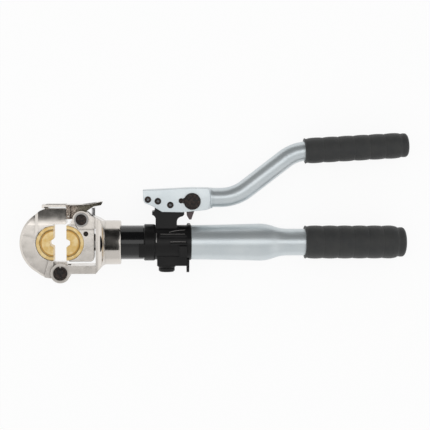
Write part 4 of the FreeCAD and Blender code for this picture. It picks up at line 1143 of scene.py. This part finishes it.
@dataclass(frozen=True)
class Studio:
    """The pale floor, the soft light, and the camera over the head and a little on the lever's side."""

    floor_height: float = -28.7 * MM
    target: tuple[float, float, float] = (207.9 * MM, 35.5 * MM, 0.0)
    stand: tuple[float, float, float] = (127.0 * MM, 135.0 * MM, 1400.0 * MM)
    lens: float = 90.45
    floor_size: float = 8.0
    glow: float = 0.9
    flag_at: tuple[float, float, float] = (0.068, 0.063, 0.050)
    flag_size: tuple[float, float] = (0.032, 0.174)
    lamp_at: tuple[float, float, float] = (0.15, 0.30, 2.0)
    lamp_size: tuple[float, float] = (4.0, 0.9)
    lamp_power: float = 10.7
    fill: tuple[float, float, float, float] = (0.72, 0.72, 0.72, 1.0)
    tones: tuple[tuple[str, float, float, float, float], ...] = (
        ("Y", 0.22, 0.5, 0.55, 0.07),
        ("Y", 0.975, 0.995, 0.0, 0.9),
        ("|X|", 0.6, 0.85, 0.0, 0.55),
        ("Y", -0.25, -0.6, 0.0, 0.2),
    )

    def build(self) -> None:
        """Set up the floor, the world, the lamp, the flag and the camera."""
        self.add_floor()
        self.light_world()
        self.add_lamp()
        self.add_flag()
        self.add_camera()
        bpy.context.scene.view_settings.view_transform = "Standard"

    def stage_plane(self, name: str, centre: Vector, normal: Vector, width: float, height: float,
                    material: bpy.types.Material) -> Thing:
        """Put up one flat rectangle that isn't part of the object.

        Args:
            name: Name of the plane.
            centre: Its middle.
            normal: The way that it faces.
            width: Size across.
            height: Size along.
            material: What it is covered with.

        Returns:
            The plane.
        """
        turn = normal.to_track_quat("Z", "Y").to_matrix()
        corners = [turn @ Vector((x * width / 2, y * height / 2, 0)) + centre
                   for x, y in ((-1, -1), (1, -1), (1, 1), (-1, 1))]
        mesh = bpy.data.meshes.new(name)
        mesh.from_pydata(corners, [], [(0, 1, 2, 3)])
        mesh.materials.append(material)
        plane = put_up(name, mesh)
        return plane

    @staticmethod
    def bare_material(name: str) -> bpy.types.Material:
        """Make a material whose node tree is empty.

        Args:
            name: Its name.

        Returns:
            The material.
        """
        material = bpy.data.materials.new(name)
        material.use_nodes = True
        material.node_tree.nodes.clear()
        return material

    def add_floor(self) -> None:
        """Lay the floor: matt paper that the camera and metal see as white, with the object's soft shadow."""
        material = self.bare_material("studio_paper")
        add = partial(add_node, material.node_tree)
        paper = add("BsdfDiffuse", {}, {"Color": linear("#F4F4F4")})
        glow = add("Emission", {}, {"Color": (1.0, 1.0, 1.0, 1.0), "Strength": 1.0})
        path = add("LightPath")
        seen = add("Math", {"operation": "MAXIMUM"},
                   {0: path.outputs["Is Camera Ray"], 1: path.outputs["Is Glossy Ray"]})
        seen = add("Math", {"operation": "MAXIMUM"},
                   {0: seen.outputs[0], 1: path.outputs["Is Transmission Ray"]})
        share = add("Math", {"operation": "MULTIPLY"}, {0: seen.outputs[0], 1: self.glow})
        mix = add("MixShader", {}, {0: share.outputs[0], 1: paper.outputs[0], 2: glow.outputs[0]})
        add("OutputMaterial", {}, {"Surface": mix.outputs[0]})
        self.stage_plane("studio_floor", Vector((0.2, 0.0, self.floor_height)), Vector((0, 0, 1)),
                         self.floor_size, self.floor_size, material)

    def add_flag(self) -> None:
        """Hang a black card over the collar, which only reflections see, as a photographer's flag."""
        material = self.bare_material("studio_flag")
        add = partial(add_node, material.node_tree)
        cloth = add("BsdfDiffuse", {}, {"Color": linear("#0A0A08")})
        add("OutputMaterial", {}, {"Surface": cloth.outputs[0]})
        flag = self.stage_plane("collar_flag", Vector(self.flag_at), Vector(DOWN), *self.flag_size, material)
        flag.visible_camera = flag.visible_diffuse = flag.visible_shadow = flag.visible_transmission = False

    def light_world(self) -> None:
        """Fill light from all round, white where the camera looks at it.

        Metal sees the darker wall of the room on the lever's side over a bright table edge. Its tone
        follows the y of the look's direction:
        t = 0.55 - 0.48 * smoothstep(0.22, 0.5, y) + 0.9 * smoothstep(0.975, 0.995, y), and 0.55 more
        towards both ends of the tool, smoothstep(0.6, 0.85, |x|), and 0.2 more on the tank's side,
        smoothstep(0.25, 0.6, -y).
        """
        world = bpy.data.worlds.new("studio_air")
        bpy.context.scene.world = world
        world.use_nodes = True
        world.node_tree.nodes.clear()
        add = partial(add_node, world.node_tree)
        path = add("LightPath")
        seen = add("Math", {"operation": "MAXIMUM"},
                   {0: path.outputs["Is Camera Ray"], 1: path.outputs["Is Transmission Ray"]})
        tone = add("Mix", COLOURS, {0: seen.outputs[0], 6: self.fill, 7: (1.0, 1.0, 1.0, 1.0)})
        look = add("TexCoord").outputs["Generated"]
        side = add("SeparateXYZ", {}, {"Vector": look})
        wide = add("Math", {"operation": "ABSOLUTE"}, {0: side.outputs["X"]})
        looks = {"Y": side.outputs["Y"], "|X|": wide.outputs[0]}
        total: Socket | float = 0.0
        for axis, *ends in self.tones:
            part = add("MapRange", SMOOTH, ramp(looks[axis], *ends))
            sums = {0: total, 1: part.outputs["Result"]}
            total = add("Math", {"operation": "ADD"}, sums).outputs[0]
        gloss = add("Mix", COLOURS, {0: path.outputs["Is Glossy Ray"], 6: tone.outputs[2], 7: total})
        air = add("Background", {}, {"Color": gloss.outputs[2], "Strength": 1.0})
        add("OutputWorld", {}, {"Surface": air.outputs[0]})

    def add_lamp(self) -> None:
        """Hang a long softbox over the tool, a little to the lever's side."""
        lamp = bpy.data.lights.new("key_softbox", "AREA")
        lamp.shape = "RECTANGLE"
        lamp.size, lamp.size_y = self.lamp_size
        lamp.energy = self.lamp_power
        holder = put_up("key_softbox", lamp)
        holder.matrix_world = self.aim(Vector(self.lamp_at), Vector((self.target[0], 0.0, 0.0)))

    @staticmethod
    def aim(place: Vector, target: Vector) -> Matrix:
        """Stand something at a place, its -Z towards the target and world X level across it.

        Args:
            place: Where it stands.
            target: What it looks at.

        Returns:
            Its place and turn as a matrix, whose columns are the three axes.
        """
        back = (place - target).normalized()
        across = Vector((1.0, 0.0, 0.0))
        across = (across - back * across.dot(back)).normalized()
        turn = Matrix((across, back.cross(across), back)).transposed()
        return Matrix.Translation(place) @ turn.to_4x4()

    def add_camera(self) -> None:
        """Hang the camera over the head, turned so that the tool's axis lies level in the picture."""
        camera = bpy.data.cameras.new("camera")
        camera.lens = self.lens
        camera.sensor_width = 36.0
        holder = put_up("camera", camera)
        holder.matrix_world = self.aim(Vector(self.stand), Vector(self.target))
        bpy.context.scene.camera = holder


def main() -> None:
    """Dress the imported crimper, add the pieces that it lacks and set up the studio."""
    logging.basicConfig(level=logging.INFO, format="%(name)s: %(message)s")
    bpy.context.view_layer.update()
    paints = Paintbox()
    paints.dress_nodes()
    for piece in (Grips(), LatchTrim(), PinEnds(), YokeForging(), ClevisForging(), CastingSeamHighlights(), *SPRINGS,
                  KnobNose()):
        piece.build(paints)
    Studio().build()


if __name__ == "__main__":
    main()
